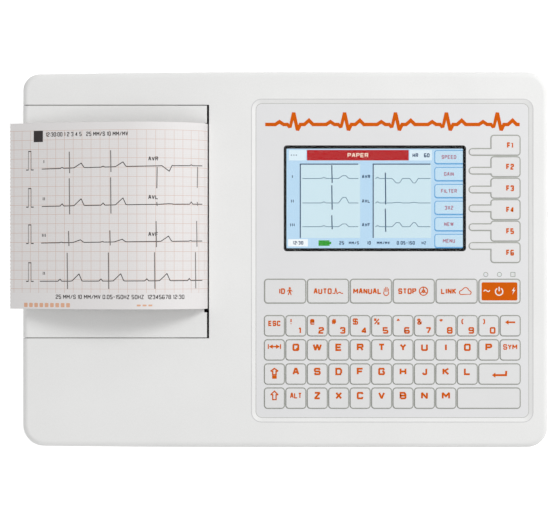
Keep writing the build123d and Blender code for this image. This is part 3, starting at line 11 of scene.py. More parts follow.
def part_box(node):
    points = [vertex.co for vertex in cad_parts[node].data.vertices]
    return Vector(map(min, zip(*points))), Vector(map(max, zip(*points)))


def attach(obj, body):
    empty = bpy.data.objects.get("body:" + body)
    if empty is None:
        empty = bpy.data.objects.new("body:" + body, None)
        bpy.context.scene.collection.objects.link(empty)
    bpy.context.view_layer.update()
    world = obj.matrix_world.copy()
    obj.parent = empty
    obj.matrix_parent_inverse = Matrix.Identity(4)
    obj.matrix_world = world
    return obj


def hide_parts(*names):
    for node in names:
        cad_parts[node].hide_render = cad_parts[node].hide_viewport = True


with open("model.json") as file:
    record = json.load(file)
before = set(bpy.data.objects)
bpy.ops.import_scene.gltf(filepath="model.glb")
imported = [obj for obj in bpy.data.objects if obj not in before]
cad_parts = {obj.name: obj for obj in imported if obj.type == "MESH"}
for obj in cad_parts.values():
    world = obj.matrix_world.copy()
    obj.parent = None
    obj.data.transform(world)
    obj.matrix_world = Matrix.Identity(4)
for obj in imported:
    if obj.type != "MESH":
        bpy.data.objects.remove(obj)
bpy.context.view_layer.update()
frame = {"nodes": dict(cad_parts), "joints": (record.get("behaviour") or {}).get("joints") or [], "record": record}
scene = bpy.context.scene
record_joints = {joint["name"]: joint for joint in frame["joints"]}

# ---- the deck's own frame
# x runs right, v runs up the slope and lift stands out of the deck, all in millimetres.
MM = 0.001
RIGHT = Vector((1, 0, 0))
UPHILL = Vector(record_joints["platen_spin"]["axis"]).normalized()
OUT = -Vector(record_joints["key_id_press"]["axis"]).normalized()
deck_level = max(vertex.co.dot(OUT) for vertex in frame["nodes"]["top_cover"].data.vertices)
DECK_ORIGIN = Vector((0, 0, deck_level / OUT.z))
TILT = atan2(UPHILL.z, UPHILL.y)


def on_deck(x, v, lift=0.0):
    """Point of the deck's frame, in metres of the row's frame."""
    return DECK_ORIGIN + RIGHT * (x * MM) + UPHILL * (v * MM) + OUT * (lift * MM)


def deck_span(name):
    """Lowest and highest (x, v, lift) of a CAD node, in millimetres."""
    offsets = [vertex.co - DECK_ORIGIN for vertex in frame["nodes"][name].data.vertices]
    rows = [(o.dot(RIGHT) / MM, o.dot(UPHILL) / MM, o.dot(OUT) / MM) for o in offsets]
    columns = list(zip(*rows))
    return [min(c) for c in columns], [max(c) for c in columns]


def middle(name):
    """Centre (x, v) of a CAD node on the deck, and its size (x, v)."""
    low, high = deck_span(name)
    return (low[0] + high[0]) / 2, (low[1] + high[1]) / 2, high[0] - low[0], high[1] - low[1]


# ---- camera, light and floor
EYE_DISTANCE = 1.1
EYE_TARGET = on_deck(-2.98, -0.49)
LENS_MM = 130.5

camera_data = bpy.data.cameras.new("Camera")
camera_data.lens = LENS_MM
camera = bpy.data.objects.new("Camera", camera_data)
eye_axes = Matrix((RIGHT, UPHILL, OUT)).transposed().to_4x4()
camera.matrix_world = Matrix.Translation(EYE_TARGET + OUT * EYE_DISTANCE) @ eye_axes
scene.collection.objects.link(camera)
scene.camera = camera
scene.view_settings.view_transform = "Standard"


def softbox(name, place, aim, width, watts):
    """Square studio light at place, turned towards aim."""
    data = bpy.data.lights.new(name, "AREA")
    data.size = width
    data.energy = watts
    lamp = bpy.data.objects.new(name, data)
    lamp.location = place
    lamp.rotation_euler = (Vector(aim) - Vector(place)).to_track_quat("-Z", "Y").to_euler()
    scene.collection.objects.link(lamp)


# The key light stands high at the right rear, and a broad fill hangs nearly overhead.
softbox("key_light", place=(0.84, 0.56, 1.02), aim=(0.02, 0, 0.05), width=0.42, watts=9.3)
softbox("fill_light", place=(0.0, -0.45, 1.5), aim=(0, 0, 0.05), width=1.2, watts=5.4)


# ---- node and colour helpers
def node(tree, kind, inputs=(), **settings):
    """Adds a node, with its settings, and its inputs as values or as links from other nodes' outputs."""
    made = tree.nodes.new(kind)
    for name, value in settings.items():
        setattr(made, name, value)
    for key, value in dict(inputs).items():
        if isinstance(value, bpy.types.NodeSocket):
            tree.links.new(value, made.inputs[key])
        else:
            made.inputs[key].default_value = value
    return made


def linear(code):
    """sRGB hex colour to linear RGBA."""
    parts = [int(code[i:i + 2], 16) / 255 for i in (1, 3, 5)]
    return (*[c / 12.92 if c <= 0.04045 else ((c + 0.055) / 1.055) ** 2.4 for c in parts], 1.0)


def start_material(name, roughness, **sockets):
    """Empty node material with one Principled shader; sockets are its values that are the same all over."""
    made = bpy.data.materials.new(name)
    made.use_nodes = True
    tree = made.node_tree
    tree.nodes.clear()
    flat = {label.replace("_", " "): value for label, value in sockets.items()}
    shader = node(tree, "ShaderNodeBsdfPrincipled", {"Roughness": roughness, **flat})
    node(tree, "ShaderNodeOutputMaterial", {"Surface": shader.outputs[0]})
    return made, tree, shader


# The sum of two noises hardly leaves this span.
NOISE_SPAN = {"From Min": 0.7, "From Max": 1.3}


def surface(name, light, dark, grain, dent, roughness, swing=0.05, patch=35.0, stretch=(1, 1, 1), **sockets):
    """Finish whose colour drifts between light and dark over patch mm, with grain mm wide dents, dent mm deep."""
    made, tree, shader = start_material(name, roughness, **sockets)
    place = node(tree, "ShaderNodeTexCoord").outputs["Object"]
    place = node(tree, "ShaderNodeMapping", {"Vector": place, "Scale": stretch}).outputs[0]
    drift = node(tree, "ShaderNodeTexNoise", {"Vector": place, "Scale": 1 / (patch * MM), "Detail": 3.0})
    fine = node(tree, "ShaderNodeTexNoise", {"Vector": place, "Scale": 1 / (grain * MM), "Detail": 2.0})
    blend = node(tree, "ShaderNodeMath", {0: drift.outputs[0], 1: fine.outputs[0]}, operation="ADD")
    share = node(tree, "ShaderNodeMapRange", {"Value": blend.outputs[0], **NOISE_SPAN})
    colours = {6: linear(dark), 7: linear(light)}
    mix = node(tree, "ShaderNodeMix", {"Factor": share.outputs[0], **colours}, data_type="RGBA")
    rough = node(tree, "ShaderNodeMapRange", {
        "Value": blend.outputs[0], **NOISE_SPAN, "To Min": roughness - swing, "To Max": roughness + swing,
    })
    bump = node(tree, "ShaderNodeBump", {"Height": fine.outputs[0], "Distance": dent * MM, "Strength": 1.0})
    tree.links.new(mix.outputs[2], shader.inputs["Base Color"])
    tree.links.new(rough.outputs[0], shader.inputs["Roughness"])
    tree.links.new(bump.outputs[0], shader.inputs["Normal"])
    return made


# The screen's cells are drawn 0.2 mm apart, twice the real pitch, or they would vanish.
CELL_PITCH = 0.2
CELL_DIMMING = 0.93


def glow(name, code):
    """Part of a backlit screen: a colour that shines through a fine lattice of cells."""
    made, tree, shader = start_material(name, 0.35, Emission_Strength=1.0, Specular_IOR_Level=0.06)
    shader.inputs["Base Color"].default_value = (0.01, 0.01, 0.01, 1)
    place = node(tree, "ShaderNodeTexCoord").outputs["UV"]
    cells = node(tree, "ShaderNodeTexVoronoi", {"Vector": place, "Scale": 1 / (CELL_PITCH * MM), "Randomness": 0.0})
    share = node(tree, "ShaderNodeMapRange", {"Value": cells.outputs["Distance"], "From Max": 0.7, "To Max": 0.35})
    shade = linear(code)
    dim = tuple(c * CELL_DIMMING for c in shade[:3]) + (1.0,)
    mix = node(tree, "ShaderNodeMix", {"Factor": share.outputs[0], 6: shade, 7: dim}, data_type="RGBA")
    tree.links.new(mix.outputs[2], shader.inputs["Emission Color"])
    return made


# ---- finishes
# Moulded ABS, spark-eroded: very fine even matt grain, off-white, no sheen. Grain is drawn at 0.6 mm.
casing_abs = surface("spark_eroded_abs", "#ECECEB", "#E7E7E6", 0.6, 0.012, 0.55, IOR=1.53)
# The same ABS on the lower shell, a shade warmer where it is handled.
lower_abs = surface("spark_eroded_abs_lower", "#E8E8E6", "#E2E2DF", 0.6, 0.015, 0.58, IOR=1.53)
# Grey line round the recess: the same ABS, painted darker as the shade of the recess's sloped rim.
rim_shade_abs = surface("painted_rim_shade_abs", "#D2D2D2", "#CBCBCB", 0.6, 0.006, 0.5, IOR=1.53)
# Screen-printed polyester overlay: smoother and a little darker than the casing.
overlay_film = surface("satin_polyester_overlay", "#E3E3E4", "#DFDFE0", 0.4, 0.004, 0.5, IOR=1.5)
# Coated silicone keys: soft satin, with a hint of light going in.
silicone = surface("coated_silicone", "#E3E3E3", "#DEDEDE", 0.35, 0.006, 0.5, IOR=1.41, Sheen_Weight=0.05)
# Natural acetal: milky, slightly waxy.
acetal = surface("natural_acetal", "#E4E4DE", "#DADAD2", 0.8, 0.006, 0.36, IOR=1.48)
# Vulcanised rubber: matt black with a dusty bloom.
rubber = surface("black_nitrile_rubber", "#2C2C2D", "#1C1C1D", 0.5, 0.02, 0.72, IOR=1.52)
# Nickel-plated pressed steel: rolling lines along x.
ROLLED = (0.06, 1, 1)
steel = surface("nickel_plated_steel", "#C4C4C6", "#A9AAAD", 0.3, 0.002, 0.32, stretch=ROLLED, Metallic=1.0)
# Zinc-plated screws: bright with a faint blue-grey bloom.
zinc = surface("zinc_plated_screws", "#B4B7BD", "#92959B", 0.5, 0.004, 0.34, Metallic=1.0, patch=4.0)
# Glazed alumina head: off-white, glass smooth.
alumina = surface("glazed_alumina", "#EFEBDD", "#E4DFD0", 1.0, 0.001, 0.12, IOR=1.7)
# Extruded aluminium: die lines along its length.
DRAWN = (1, 0.04, 1)
aluminium = surface("extruded_aluminium", "#CBCCCF", "#B2B3B6", 0.25, 0.004, 0.38, stretch=DRAWN, Metallic=1.0)
# Moulded black PBT, as on sockets and chips.
black_pbt = surface("moulded_black_pbt", "#2A2A2B", "#1E1E1F", 0.5, 0.006, 0.48, IOR=1.55)
# Frosted acrylic indicator lenses.
frosted_acrylic = surface(
    "frosted_acrylic", "#E4E6E6", "#D5D8D8", 0.3, 0.004, 0.4, IOR=1.49, Subsurface_Weight=0.15, Subsurface_Scale=MM,
)
# Shrink wrap over the battery cells: glossy blue PVC that pulls tight.
shrink_wrap = surface("blue_pvc_shrink_wrap", "#2F66A8", "#22508A", 6.0, 0.05, 0.25, IOR=1.54)
# Gold flash on spring contacts.
gold_flash = surface("gold_flashed_contacts", "#E6C06A", "#CFA550", 0.3, 0.001, 0.28, Metallic=1.0, patch=3.0)
# Flat ribbon cable: pale grey PVC.
WIRES = (1, 0.02, 1)
ribbon_pvc = surface("grey_pvc_ribbon", "#C9CCCF", "#B4B8BC", 1.27, 0.05, 0.45, stretch=WIRES, IOR=1.54)
# Printed inks: dense and matt, thinner in places.
INK = {"Specular_IOR_Level": 0.08, "patch": 8.0}
orange_ink = surface("orange_screen_ink", "#D65E00", "#CC5800", 0.3, 0.002, 0.65, **INK)
pale_orange_ink = surface("pale_orange_ink", "#E4B498", "#DFAC8E", 0.3, 0.001, 0.65, **INK)
grey_ink = surface("grey_screen_ink", "#A9ABA4", "#A1A39C", 0.3, 0.002, 0.65, **INK)
# Grey laid over the gap round the panel: painted shade of the gap, not a print.
gap_shade_ink = surface("painted_gap_shade_ink", "#BFC0BC", "#B8B9B5", 0.3, 0.002, 0.6, **INK)
white_ink = surface("white_screen_ink", "#F2F0EE", "#E9E6E3", 0.3, 0.002, 0.65, **INK)
thermal_black = surface("thermal_black", "#454040", "#393536", 0.25, 0.001, 0.7, **INK)
thermal_grey = surface("thermal_grey", "#7E7977", "#736E6C", 0.25, 0.001, 0.7, **INK)
black_border_ink = surface("black_border_ink", "#0E1014", "#0B0D10", 0.3, 0.001, 0.6, **INK)
# Opal floor, lit a little from below: white, perfectly matt, faintly uneven.
opal_floor = surface(
    "opal_studio_floor", "#FDFDFD", "#FAFAFA", 4.0, 0.01, 0.95, patch=400.0, swing=0.02,
    Specular_IOR_Level=0.1, Emission_Color=(1, 1, 1, 1), Emission_Strength=0.42,
)
TRACK_RISE, WIPE_BREADTH = 0.03, 6.0


def board_material():
    """Green solder resist over copper tracks: parallel tracks show as lighter lines."""
    made, tree, shader = start_material("green_solder_resist", 0.3, IOR=1.52)
    place = node(tree, "ShaderNodeTexCoord").outputs["Object"]
    # A band wave repeats after about a third of its scale, so the tracks lie 1.2 mm apart: coarse enough to show.
    tracks = node(tree, "ShaderNodeTexWave", {
        "Vector": place, "Scale": 1 / (3.8 * MM), "Distortion": 3.0, "Detail": 1.0, "Detail Scale": 0.4,
    })
    step = node(tree, "ShaderNodeMapRange", {"Value": tracks.outputs["Fac"], "From Min": 0.62, "From Max": 0.72})
    greens = {6: linear("#0E4A2A"), 7: linear("#1C6B3C")}
    mix = node(tree, "ShaderNodeMix", {"Factor": step.outputs[0], **greens}, data_type="RGBA")
    bump = node(tree, "ShaderNodeBump", {"Height": step.outputs[0], "Distance": TRACK_RISE * MM})
    tree.links.new(mix.outputs[2], shader.inputs["Base Color"])
    tree.links.new(bump.outputs[0], shader.inputs["Normal"])
    return made


def glass_material():
    """Clear acrylic, with an anti-reflection coat that leaves the gloss of an index of 1.16; wipe marks vary it."""
    made, tree, shader = start_material(
        "hard_coated_acrylic", 0.03, IOR=1.16, Transmission_Weight=1.0, Specular_IOR_Level=0.06,
    )
    shader.inputs["Base Color"].default_value = (1, 1, 1, 1)
    place = node(tree, "ShaderNodeTexCoord").outputs["Object"]
    place = node(tree, "ShaderNodeMapping", {"Vector": place, "Scale": (1, 0.15, 1)}).outputs[0]
    wipes = node(tree, "ShaderNodeTexNoise", {"Vector": place, "Scale": 1 / (WIPE_BREADTH * MM), "Detail": 4.0})
    rough = node(tree, "ShaderNodeMapRange", {
        "Value": wipes.outputs[0], "From Min": 0.4, "From Max": 0.75, "To Min": 0.01, "To Max": 0.07,
    })
    tree.links.new(rough.outputs[0], shader.inputs["Roughness"])
    return made


# ---- recording paper values (mm)
PAPER_MID = 23.2
PAPER_WIDTH = 100.0
GRID_REAR = 69.0
GRID_FRONT = -18.0
GRID_PITCH = 5.0
GRID_START = 2.5
BROAD_HALF_LINE, FINE_HALF_LINE, FINE_STRENGTH = 0.11, 0.05, 0.2
GRID_MARGIN = 0.1
FIBRE, FIBRE_RISE = 0.8, 0.01


def paper_material():
    """Thermal paper: cool white, faintly fibrous, with a printed 5 mm grid and 1 mm grid in pink."""
    made, tree, shader = start_material("thermal_chart_paper", 0.55, IOR=1.45)
    flat = node(tree, "ShaderNodeTexCoord").outputs["UV"]
    axes = node(tree, "ShaderNodeSeparateXYZ", {0: flat})
    along, across = axes.outputs[0], axes.outputs[1]

    def lines(coordinate, start, pitch, half_line):
        """1 on lines of half-width half_line, each pitch mm from start, and 0 between them."""
        shifted = node(tree, "ShaderNodeMath", {0: coordinate, 1: -start * MM}, operation="ADD")
        ramp = node(tree, "ShaderNodeMath", {0: shifted.outputs[0], 1: pitch / 2 * MM}, operation="PINGPONG")
        return node(tree, "ShaderNodeMapRange", {
            "Value": ramp.outputs[0], "From Min": half_line * 0.7 * MM, "From Max": half_line * 1.3 * MM,
            "To Min": 1.0, "To Max": 0.0,
        }).outputs[0]

    def reckon(a, b, operation):
        return node(tree, "ShaderNodeMath", {0: a, 1: b}, operation=operation).outputs[0]

    ways = ((along, GRID_START), (across, GRID_REAR))
    broad_lines = [lines(way, start, GRID_PITCH, BROAD_HALF_LINE) for way, start in ways]
    fine_lines = [lines(way, start, 1.0, FINE_HALF_LINE) for way, start in ways]
    fine = reckon(reckon(*fine_lines, "MAXIMUM"), FINE_STRENGTH, "MULTIPLY")
    grid = reckon(reckon(*broad_lines, "MAXIMUM"), fine, "MAXIMUM")
    below = reckon(across, (GRID_REAR + GRID_MARGIN) * MM, "LESS_THAN")
    above = reckon(across, (GRID_FRONT - GRID_MARGIN) * MM, "GREATER_THAN")
    share = reckon(grid, reckon(below, above, "MULTIPLY"), "MULTIPLY")
    fibres = node(tree, "ShaderNodeTexNoise", {"Vector": flat, "Scale": 1 / (FIBRE * MM), "Detail": 3.0})
    whites = {6: linear("#E3E0DF"), 7: linear("#E9E7E7")}
    base = node(tree, "ShaderNodeMix", {"Factor": fibres.outputs[0], **whites}, data_type="RGBA")
    mix = node(tree, "ShaderNodeMix", {"Factor": share, 6: base.outputs[2], 7: linear("#D3B8AC")}, data_type="RGBA")
    bump = node(tree, "ShaderNodeBump", {"Height": fibres.outputs[0], "Distance": FIBRE_RISE * MM})
    tree.links.new(mix.outputs[2], shader.inputs["Base Color"])
    tree.links.new(bump.outputs[0], shader.inputs["Normal"])
    return made


chart_paper = paper_material()
finishes = {
    "casing": casing_abs, "casing_lower": lower_abs, "panel": overlay_film, "key_silicone": silicone,
    "engineering_plastic": acetal, "black_rubber": rubber, "steel": steel, "screw_steel": zinc, "ceramic": alumina,
    "aluminium": aluminium, "black_plastic": black_pbt, "paper": chart_paper, "lens": frosted_acrylic,
    "circuit_board": board_material(), "display_glass": glass_material(), "battery_wrap": shrink_wrap,
}
for part in frame["record"]["subparts"]:
    finish = ribbon_pvc if part["node"] == "ribbon_cables" else finishes[part["material_slot"]]
    kept = frame["nodes"][part["node"]]
    kept.data.materials.clear()
    kept.data.materials.append(finish)

# ---- floor
FLOOR_REACH = 6.0
FLOOR_CORNERS = ((-1, -1), (1, -1), (1, 1), (-1, 1))
floor_mesh = bpy.data.meshes.new("floor")
floor_mesh.from_pydata([(FLOOR_REACH * x, FLOOR_REACH * y, 0) for x, y in FLOOR_CORNERS], [], [(0, 1, 2, 3)])
floor_mesh.materials.append(opal_floor)
floor = bpy.data.objects.new("floor", floor_mesh)
scene.collection.objects.link(floor)

world = bpy.data.worlds.new("studio")
world.use_nodes = True
backdrop = world.node_tree.nodes["Background"]
backdrop.inputs["Color"].default_value = (1, 1, 1, 1)
backdrop.inputs["Strength"].default_value = 0.47
scene.world = world


# ---- flat shapes laid on a surface
def arc_points(x, v, radius, first, turn=pi / 2, steps=5):
    """Points of an arc round (x, v), from angle first."""
    angles = [first + turn * i / steps for i in range(steps + 1)]
    return [(x + radius * cos(angle), v + radius * sin(angle)) for angle in angles]


def rounded(x, v, width, height, radius, steps=5):
    """Rounded rectangle round (x, v), anticlockwise; radius may be four values, from the lower right corner on."""
    radii = radius if isinstance(radius, tuple) else (radius,) * 4
    corners = ((1, -1, -pi / 2), (1, 1, 0), (-1, 1, pi / 2), (-1, -1, pi))
    outline = []
    for (side, end, start), r in zip(corners, radii):
        cx, cv = x + side * (width / 2 - r), v + end * (height / 2 - r)
        if r == 0:
            outline.append((cx, cv))
            continue
        outline += arc_points(cx, cv, r, start, steps=steps)
    return outline


def ellipse(x, v, width, height, count=20, start=0.0, turn=2 * pi):
    """Points on an ellipse round (x, v); an open arc when turn is less than a whole turn."""
    last = count if turn >= 2 * pi else count - 1
    angles = [start + turn * i / last for i in range(count)]
    return [(x + width / 2 * cos(angle), v + height / 2 * sin(angle)) for angle in angles]


# Square letters as strokes: each pair of digits is a point on an 8 by 8 field, and spaces part the strokes.
LETTERS = {
    "A": "00385880 1373", "B": "0008687785640400 6483817000", "C": "8678180701107082", "D": "0008688682608000",
    "E": "80000888 0474", "F": "000888 0474", "G": "867818070110708184 8454", "H": "0008 8088 0484",
    "I": "4048", "J": "6861502002", "K": "0008 8804 3480", "L": "080080", "M": "0008438880", "N": "00088088",
    "O": "100107187887817010", "P": "000878878574 7404", "Q": "100107187887817010 5380",
    "R": "000878878574 7404 5480", "S": "867818070514748381701002", "T": "0888 4048", "U": "080110708188",
    "V": "084088", "W": "0820486088", "X": "0088 0880", "Y": "084488 4440", "Z": "08880080",
    "0": "100107187887817010", "1": "264840", "2": "061878878513010080", "3": "06187887857434 7483817010 1001",
    "4": "60680282", "5": "880804748381701001", "6": "877818070110708183740304", "7": "088830",
    "8": "140507187887857414 1403011070818374", "9": "0110708187781807051484", "!": "4843 4140",
    "@": "6265353363737667271612207080", "#": "2038 5068 0383 0585", "$": "867818070514748381701002 4840",
    "%": "0088 0608282606 6062828060", "^": "254865", "&": "8016173857551211205084", "*": "4448 1745 7745",
    "(": "68464260", ")": "28464220", "-": "1474", ".": "4041", "/": "0088", ":": "4241 4645",
}
BROAD_LETTERS = {"M": 1.3, "W": 1.5}
WORD_SPACE = 0.6
# Corners blunter than this, 1 + cos of their turn, are mitred; sharper ones are cut off.
MITRE_OPENNESS = 0.8
# Printed shapes that cross lie 5 micrometres apart, so that no two tops coincide.
LAYER_RISE = 0.005
LAYERS = 5
INK_TOP, INK_BOTTOM = 0.04, -0.03


class Ink:
    """Gathers flat shapes, in millimetres, and lays them on a surface as one thin closed mesh."""

    def __init__(self, place, top=INK_TOP, bottom=INK_BOTTOM):
        self.place = place
        self.levels = (top, bottom)
        self.points = []
        self.rises = []
        self.faces = []
        self.shapes = 0

    def add(self, points, faces):
        """Adds a flat shape, a little higher than the one before."""
        first = len(self.points)
        self.points += points
        self.rises += [LAYER_RISE * (self.shapes % LAYERS)] * len(points)
        self.shapes += 1
        self.faces += [[first + i for i in face] for face in faces]

    def fill(self, outline):
        self.add(list(outline), [range(len(outline))])

    def stroke(self, path, width, closed=False):
        """Band of even width along path; sharp corners are cut off square on their outer side."""
        count, half = len(path), width / 2
        arrive, leave, points, faces = [], [], [], []
        for i, (x, v) in enumerate(path):
            sides = []
            if closed or i > 0:
                sides.append((path[i - 1], path[i]))
            if closed or i < count - 1:
                sides.append((path[i], path[(i + 1) % count]))
            lengths = [hypot(b[0] - a[0], b[1] - a[1]) for a, b in sides]
            normals = [((a[1] - b[1]) / size, (b[0] - a[0]) / size) for (a, b), size in zip(sides, lengths)]
            (nx, nv), (mx, mv) = normals[0], normals[-1]
            openness = 1 + nx * mx + nv * mv
            first = len(points)
            if openness > MITRE_OPENNESS:
                dx, dv = half * (nx + mx) / openness, half * (nv + mv) / openness
                points += [(x + dx, v + dv), (x - dx, v - dv)]
                arrive.append((first, first + 1))
                leave.append((first, first + 1))
                continue
            turn = 1 if nx * mv - nv * mx > 0 else -1
            size = max(hypot(nx + mx, nv + mv), 1e-6)
            inset = turn * min(half / (size / 2), 0.8 * min(lengths)) / size
            points.append((x + (nx + mx) * inset, v + (nv + mv) * inset))
            points += [(x - turn * half * nx, v - turn * half * nv), (x - turn * half * mx, v - turn * half * mv)]
            inner, before, after = first, first + 1, first + 2
            arrive.append((inner, before) if turn > 0 else (before, inner))
            leave.append((inner, after) if turn > 0 else (after, inner))
            faces.append((inner, before, after) if turn > 0 else (inner, after, before))
        for i in range(count if closed else count - 1):
            (left, right), (next_left, next_right) = leave[i], arrive[(i + 1) % count]
            faces.append((right, next_right, next_left, left))
        self.add(points, faces)

    def word(self, words, x, v, height, line, align=0.5, wide=0.72, gap=0.3):
        """Words height mm tall in strokes line mm broad, gap mm apart; x is their left end with align 0."""
        tall, unit = height - line, (height * wide - line) / 8
        cursor, placed = 0.0, []
        for letter in words.upper():
            runs = LETTERS.get(letter, "").split()
            runs = [[(int(a), int(b)) for a, b in zip(run[::2], run[1::2])] for run in runs]
            if not runs:
                cursor += height * wide * WORD_SPACE
                continue
            step = unit * BROAD_LETTERS.get(letter, 1.0)
            spots = [a for run in runs for a, _ in run]
            left, right = min(spots), max(spots)
            placed.append((cursor - left * step, step, runs))
            cursor += (right - left) * step + line + gap
        start = x - (cursor - gap) * align + line / 2
        for offset, step, runs in placed:
            for run in runs:
                closed = len(run) > 2 and run[0] == run[-1]
                path = [(start + offset + step * a, v - tall / 2 + tall * b / 8) for a, b in run]
                self.stroke(path[:-1] if closed else path, line, closed)

    def piece(self, name, paint, slot, body="root"):
        """The closed mesh, riding on a body, with its flat shape in metres as its UV map."""
        count = len(self.points)
        raised = list(zip(self.points, self.rises))
        vertices = [self.place(x, v, level + rise) for level in self.levels for (x, v), rise in raised]
        directed = {(face[i - 1], face[i]) for face in self.faces for i in range(len(face))}
        sides = [(a, a + count, b + count, b) for a, b in directed if (b, a) not in directed]
        tops = [tuple(face) for face in self.faces]
        bottoms = [tuple(i + count for i in reversed(face)) for face in tops]
        mesh = bpy.data.meshes.new(name)
        mesh.from_pydata(vertices, [], tops + bottoms + sorted(sides))
        layer = mesh.uv_layers.new(name="flat")
        flat = [(x * MM, v * MM) for x, v in self.points] * 2
        for loop in mesh.loops:
            layer.data[loop.index].uv = flat[loop.vertex_index]
        mesh.materials.append(paint)
        made = bpy.data.objects.new(name, mesh)
        scene.collection.objects.link(made)
        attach(made, body)
        return made


# ---- repeated pieces grown from seed points
def new_tree(name, sizes):
    """Geometry tree with named inputs; sizes gives each input's socket kind."""
    tree = bpy.data.node_groups.new(name, "GeometryNodeTree")
    tree.interface.new_socket("Geometry", in_out="INPUT", socket_type="NodeSocketGeometry")
    for label, kind in sizes.items():
        tree.interface.new_socket(label, in_out="INPUT", socket_type=kind)
    tree.interface.new_socket("Geometry", in_out="OUTPUT", socket_type="NodeSocketGeometry")
    return tree, node(tree, "NodeGroupInput").outputs


def end_tree(tree, source, shape):
    """Puts shape on each seed point, turned by Turn, and ends the tree."""
    turn = node(tree, "FunctionNodeEulerToRotation", {0: source["Turn"]})
    placed = node(tree, "GeometryNodeInstanceOnPoints", {
        "Points": source["Geometry"], "Instance": shape, "Rotation": turn.outputs[0],
    })
    real = node(tree, "GeometryNodeRealizeInstances", {0: placed.outputs[0]})
    painted = node(tree, "GeometryNodeSetMaterial", {"Geometry": real.outputs[0], "Material": source["Material"]})
    node(tree, "NodeGroupOutput", {0: painted.outputs[0]})


LENGTH, PLACE, PAINT = "NodeSocketFloat", "NodeSocketVector", "NodeSocketMaterial"

ring_tree, source = new_tree("outline_rings", {
    "Width": LENGTH, "Height": LENGTH, "Corner": LENGTH, "Line": LENGTH, "Thick": LENGTH, "Turn": PLACE,
    "Material": PAINT,
})
RECTANGLE = "GeometryNodeCurvePrimitiveQuadrilateral"
outline = node(ring_tree, RECTANGLE, {"Width": source["Width"], "Height": source["Height"]})
bent = node(ring_tree, "GeometryNodeFilletCurve", {
    "Curve": outline.outputs[0], "Count": 5, "Radius": source["Corner"],
}, mode="POLY")
upright = node(ring_tree, "GeometryNodeSetCurveNormal", {"Curve": bent.outputs[0]}, mode="Z_UP")
profile = node(ring_tree, RECTANGLE, {"Width": source["Line"], "Height": source["Thick"]})
swept = node(ring_tree, "GeometryNodeCurveToMesh", {"Curve": upright.outputs[0], "Profile Curve": profile.outputs[0]})
end_tree(ring_tree, source, swept.outputs[0])

spring_tree, source = new_tree("bent_springs", {
    "Start": PLACE, "Bend": PLACE, "End": PLACE, "Width": LENGTH, "Thick": LENGTH, "Turn": PLACE, "Material": PAINT,
})
spring_path = node(spring_tree, "GeometryNodeCurveQuadraticBezier", {
    "Resolution": 6, "Start": source["Start"], "Middle": source["Bend"], "End": source["End"],
})
upright = node(spring_tree, "GeometryNodeSetCurveNormal", {"Curve": spring_path.outputs[0]}, mode="Z_UP")
profile = node(spring_tree, RECTANGLE, {"Width": source["Width"], "Height": source["Thick"]})
swept = node(spring_tree, "GeometryNodeCurveToMesh", {
    "Curve": upright.outputs[0], "Profile Curve": profile.outputs[0], "Fill Caps": True,
})
end_tree(spring_tree, source, swept.outputs[0])


def grown(name, tree, seeds, body, slot, **sizes):
    """Grows a tree on seed points, in metres, into one plain mesh that rides on a body."""
    seed_mesh = bpy.data.meshes.new(name + "_seeds")
    seed_mesh.from_pydata(seeds, [], [])
    seed = bpy.data.objects.new(name + "_seeds", seed_mesh)
    scene.collection.objects.link(seed)
    growth = seed.modifiers.new("Growth", "NODES")
    growth.node_group = tree
    sockets = {item.name: item.identifier for item in tree.interface.items_tree if item.in_out == "INPUT"}
    for label, value in sizes.items():
        growth[sockets[label]] = value
    mesh = bpy.data.meshes.new_from_object(seed.evaluated_get(bpy.context.evaluated_depsgraph_get()))
    bpy.data.objects.remove(seed)
    shape = bmesh.new()
    shape.from_mesh(mesh)
    bmesh.ops.recalc_face_normals(shape, faces=shape.faces)
    shape.to_mesh(mesh)
    shape.free()
    made = bpy.data.objects.new(name, mesh)
    mesh.name = name
    scene.collection.objects.link(made)
    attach(made, body)
    return made


# ---- keypad: outlines
KEY_CORNER = 1.4
# A grey overlay edge bridges each gap, 0.02 mm clear of the key.
LINE = 0.58
LINE_CLEAR = 0.02
LINE_THICK = 0.3
LINE_SINK = 0.12
TYPING_LEFT, TYPING_PITCH = -6.0, 11.62
TYPING_TOP, ROW_PITCH = -36.15, 13.08
TYPING_KEY = (10.3, 10.5)
TYPING_ROWS = (12, 12, 10, 9)
ENTER = (TYPING_LEFT + 10.5 * TYPING_PITCH, TYPING_TOP - 2 * ROW_PITCH, 21.92)
SPACE = (TYPING_LEFT + 10 * TYPING_PITCH, TYPING_TOP - 3 * ROW_PITCH, 33.54)
FUNCTION_KEY = (21.8, 12.4)
SOFT_MIDDLE, SOFT_KEY = 119.25, (15.3, 10.3)
TONGUE_LEFT, TONGUE_HALF, TONGUE_SWING = 99.8, 1.55, 3.6
PANEL_LIFT = deck_span("keypad_panel")[1][2]
FUNCTION_KEYS = ("key_id", "key_auto", "key_manual", "key_stop", "key_link", "key_power")


def outline_rings(name, centres, width, height):
    """Grey edge round the hole of each key, level with the panel."""
    seeds = [on_deck(x, v, PANEL_LIFT - LINE_SINK) for x, v in centres]
    spread = 2 * LINE_CLEAR + LINE
    grown(
        name, ring_tree, seeds, "root", "panel", Width=(width + spread) * MM, Height=(height + spread) * MM,
        Corner=(KEY_CORNER + spread / 2) * MM, Line=LINE * MM, Thick=LINE_THICK * MM, Turn=(TILT, 0.0, 0.0),
        Material=grey_ink,
    )


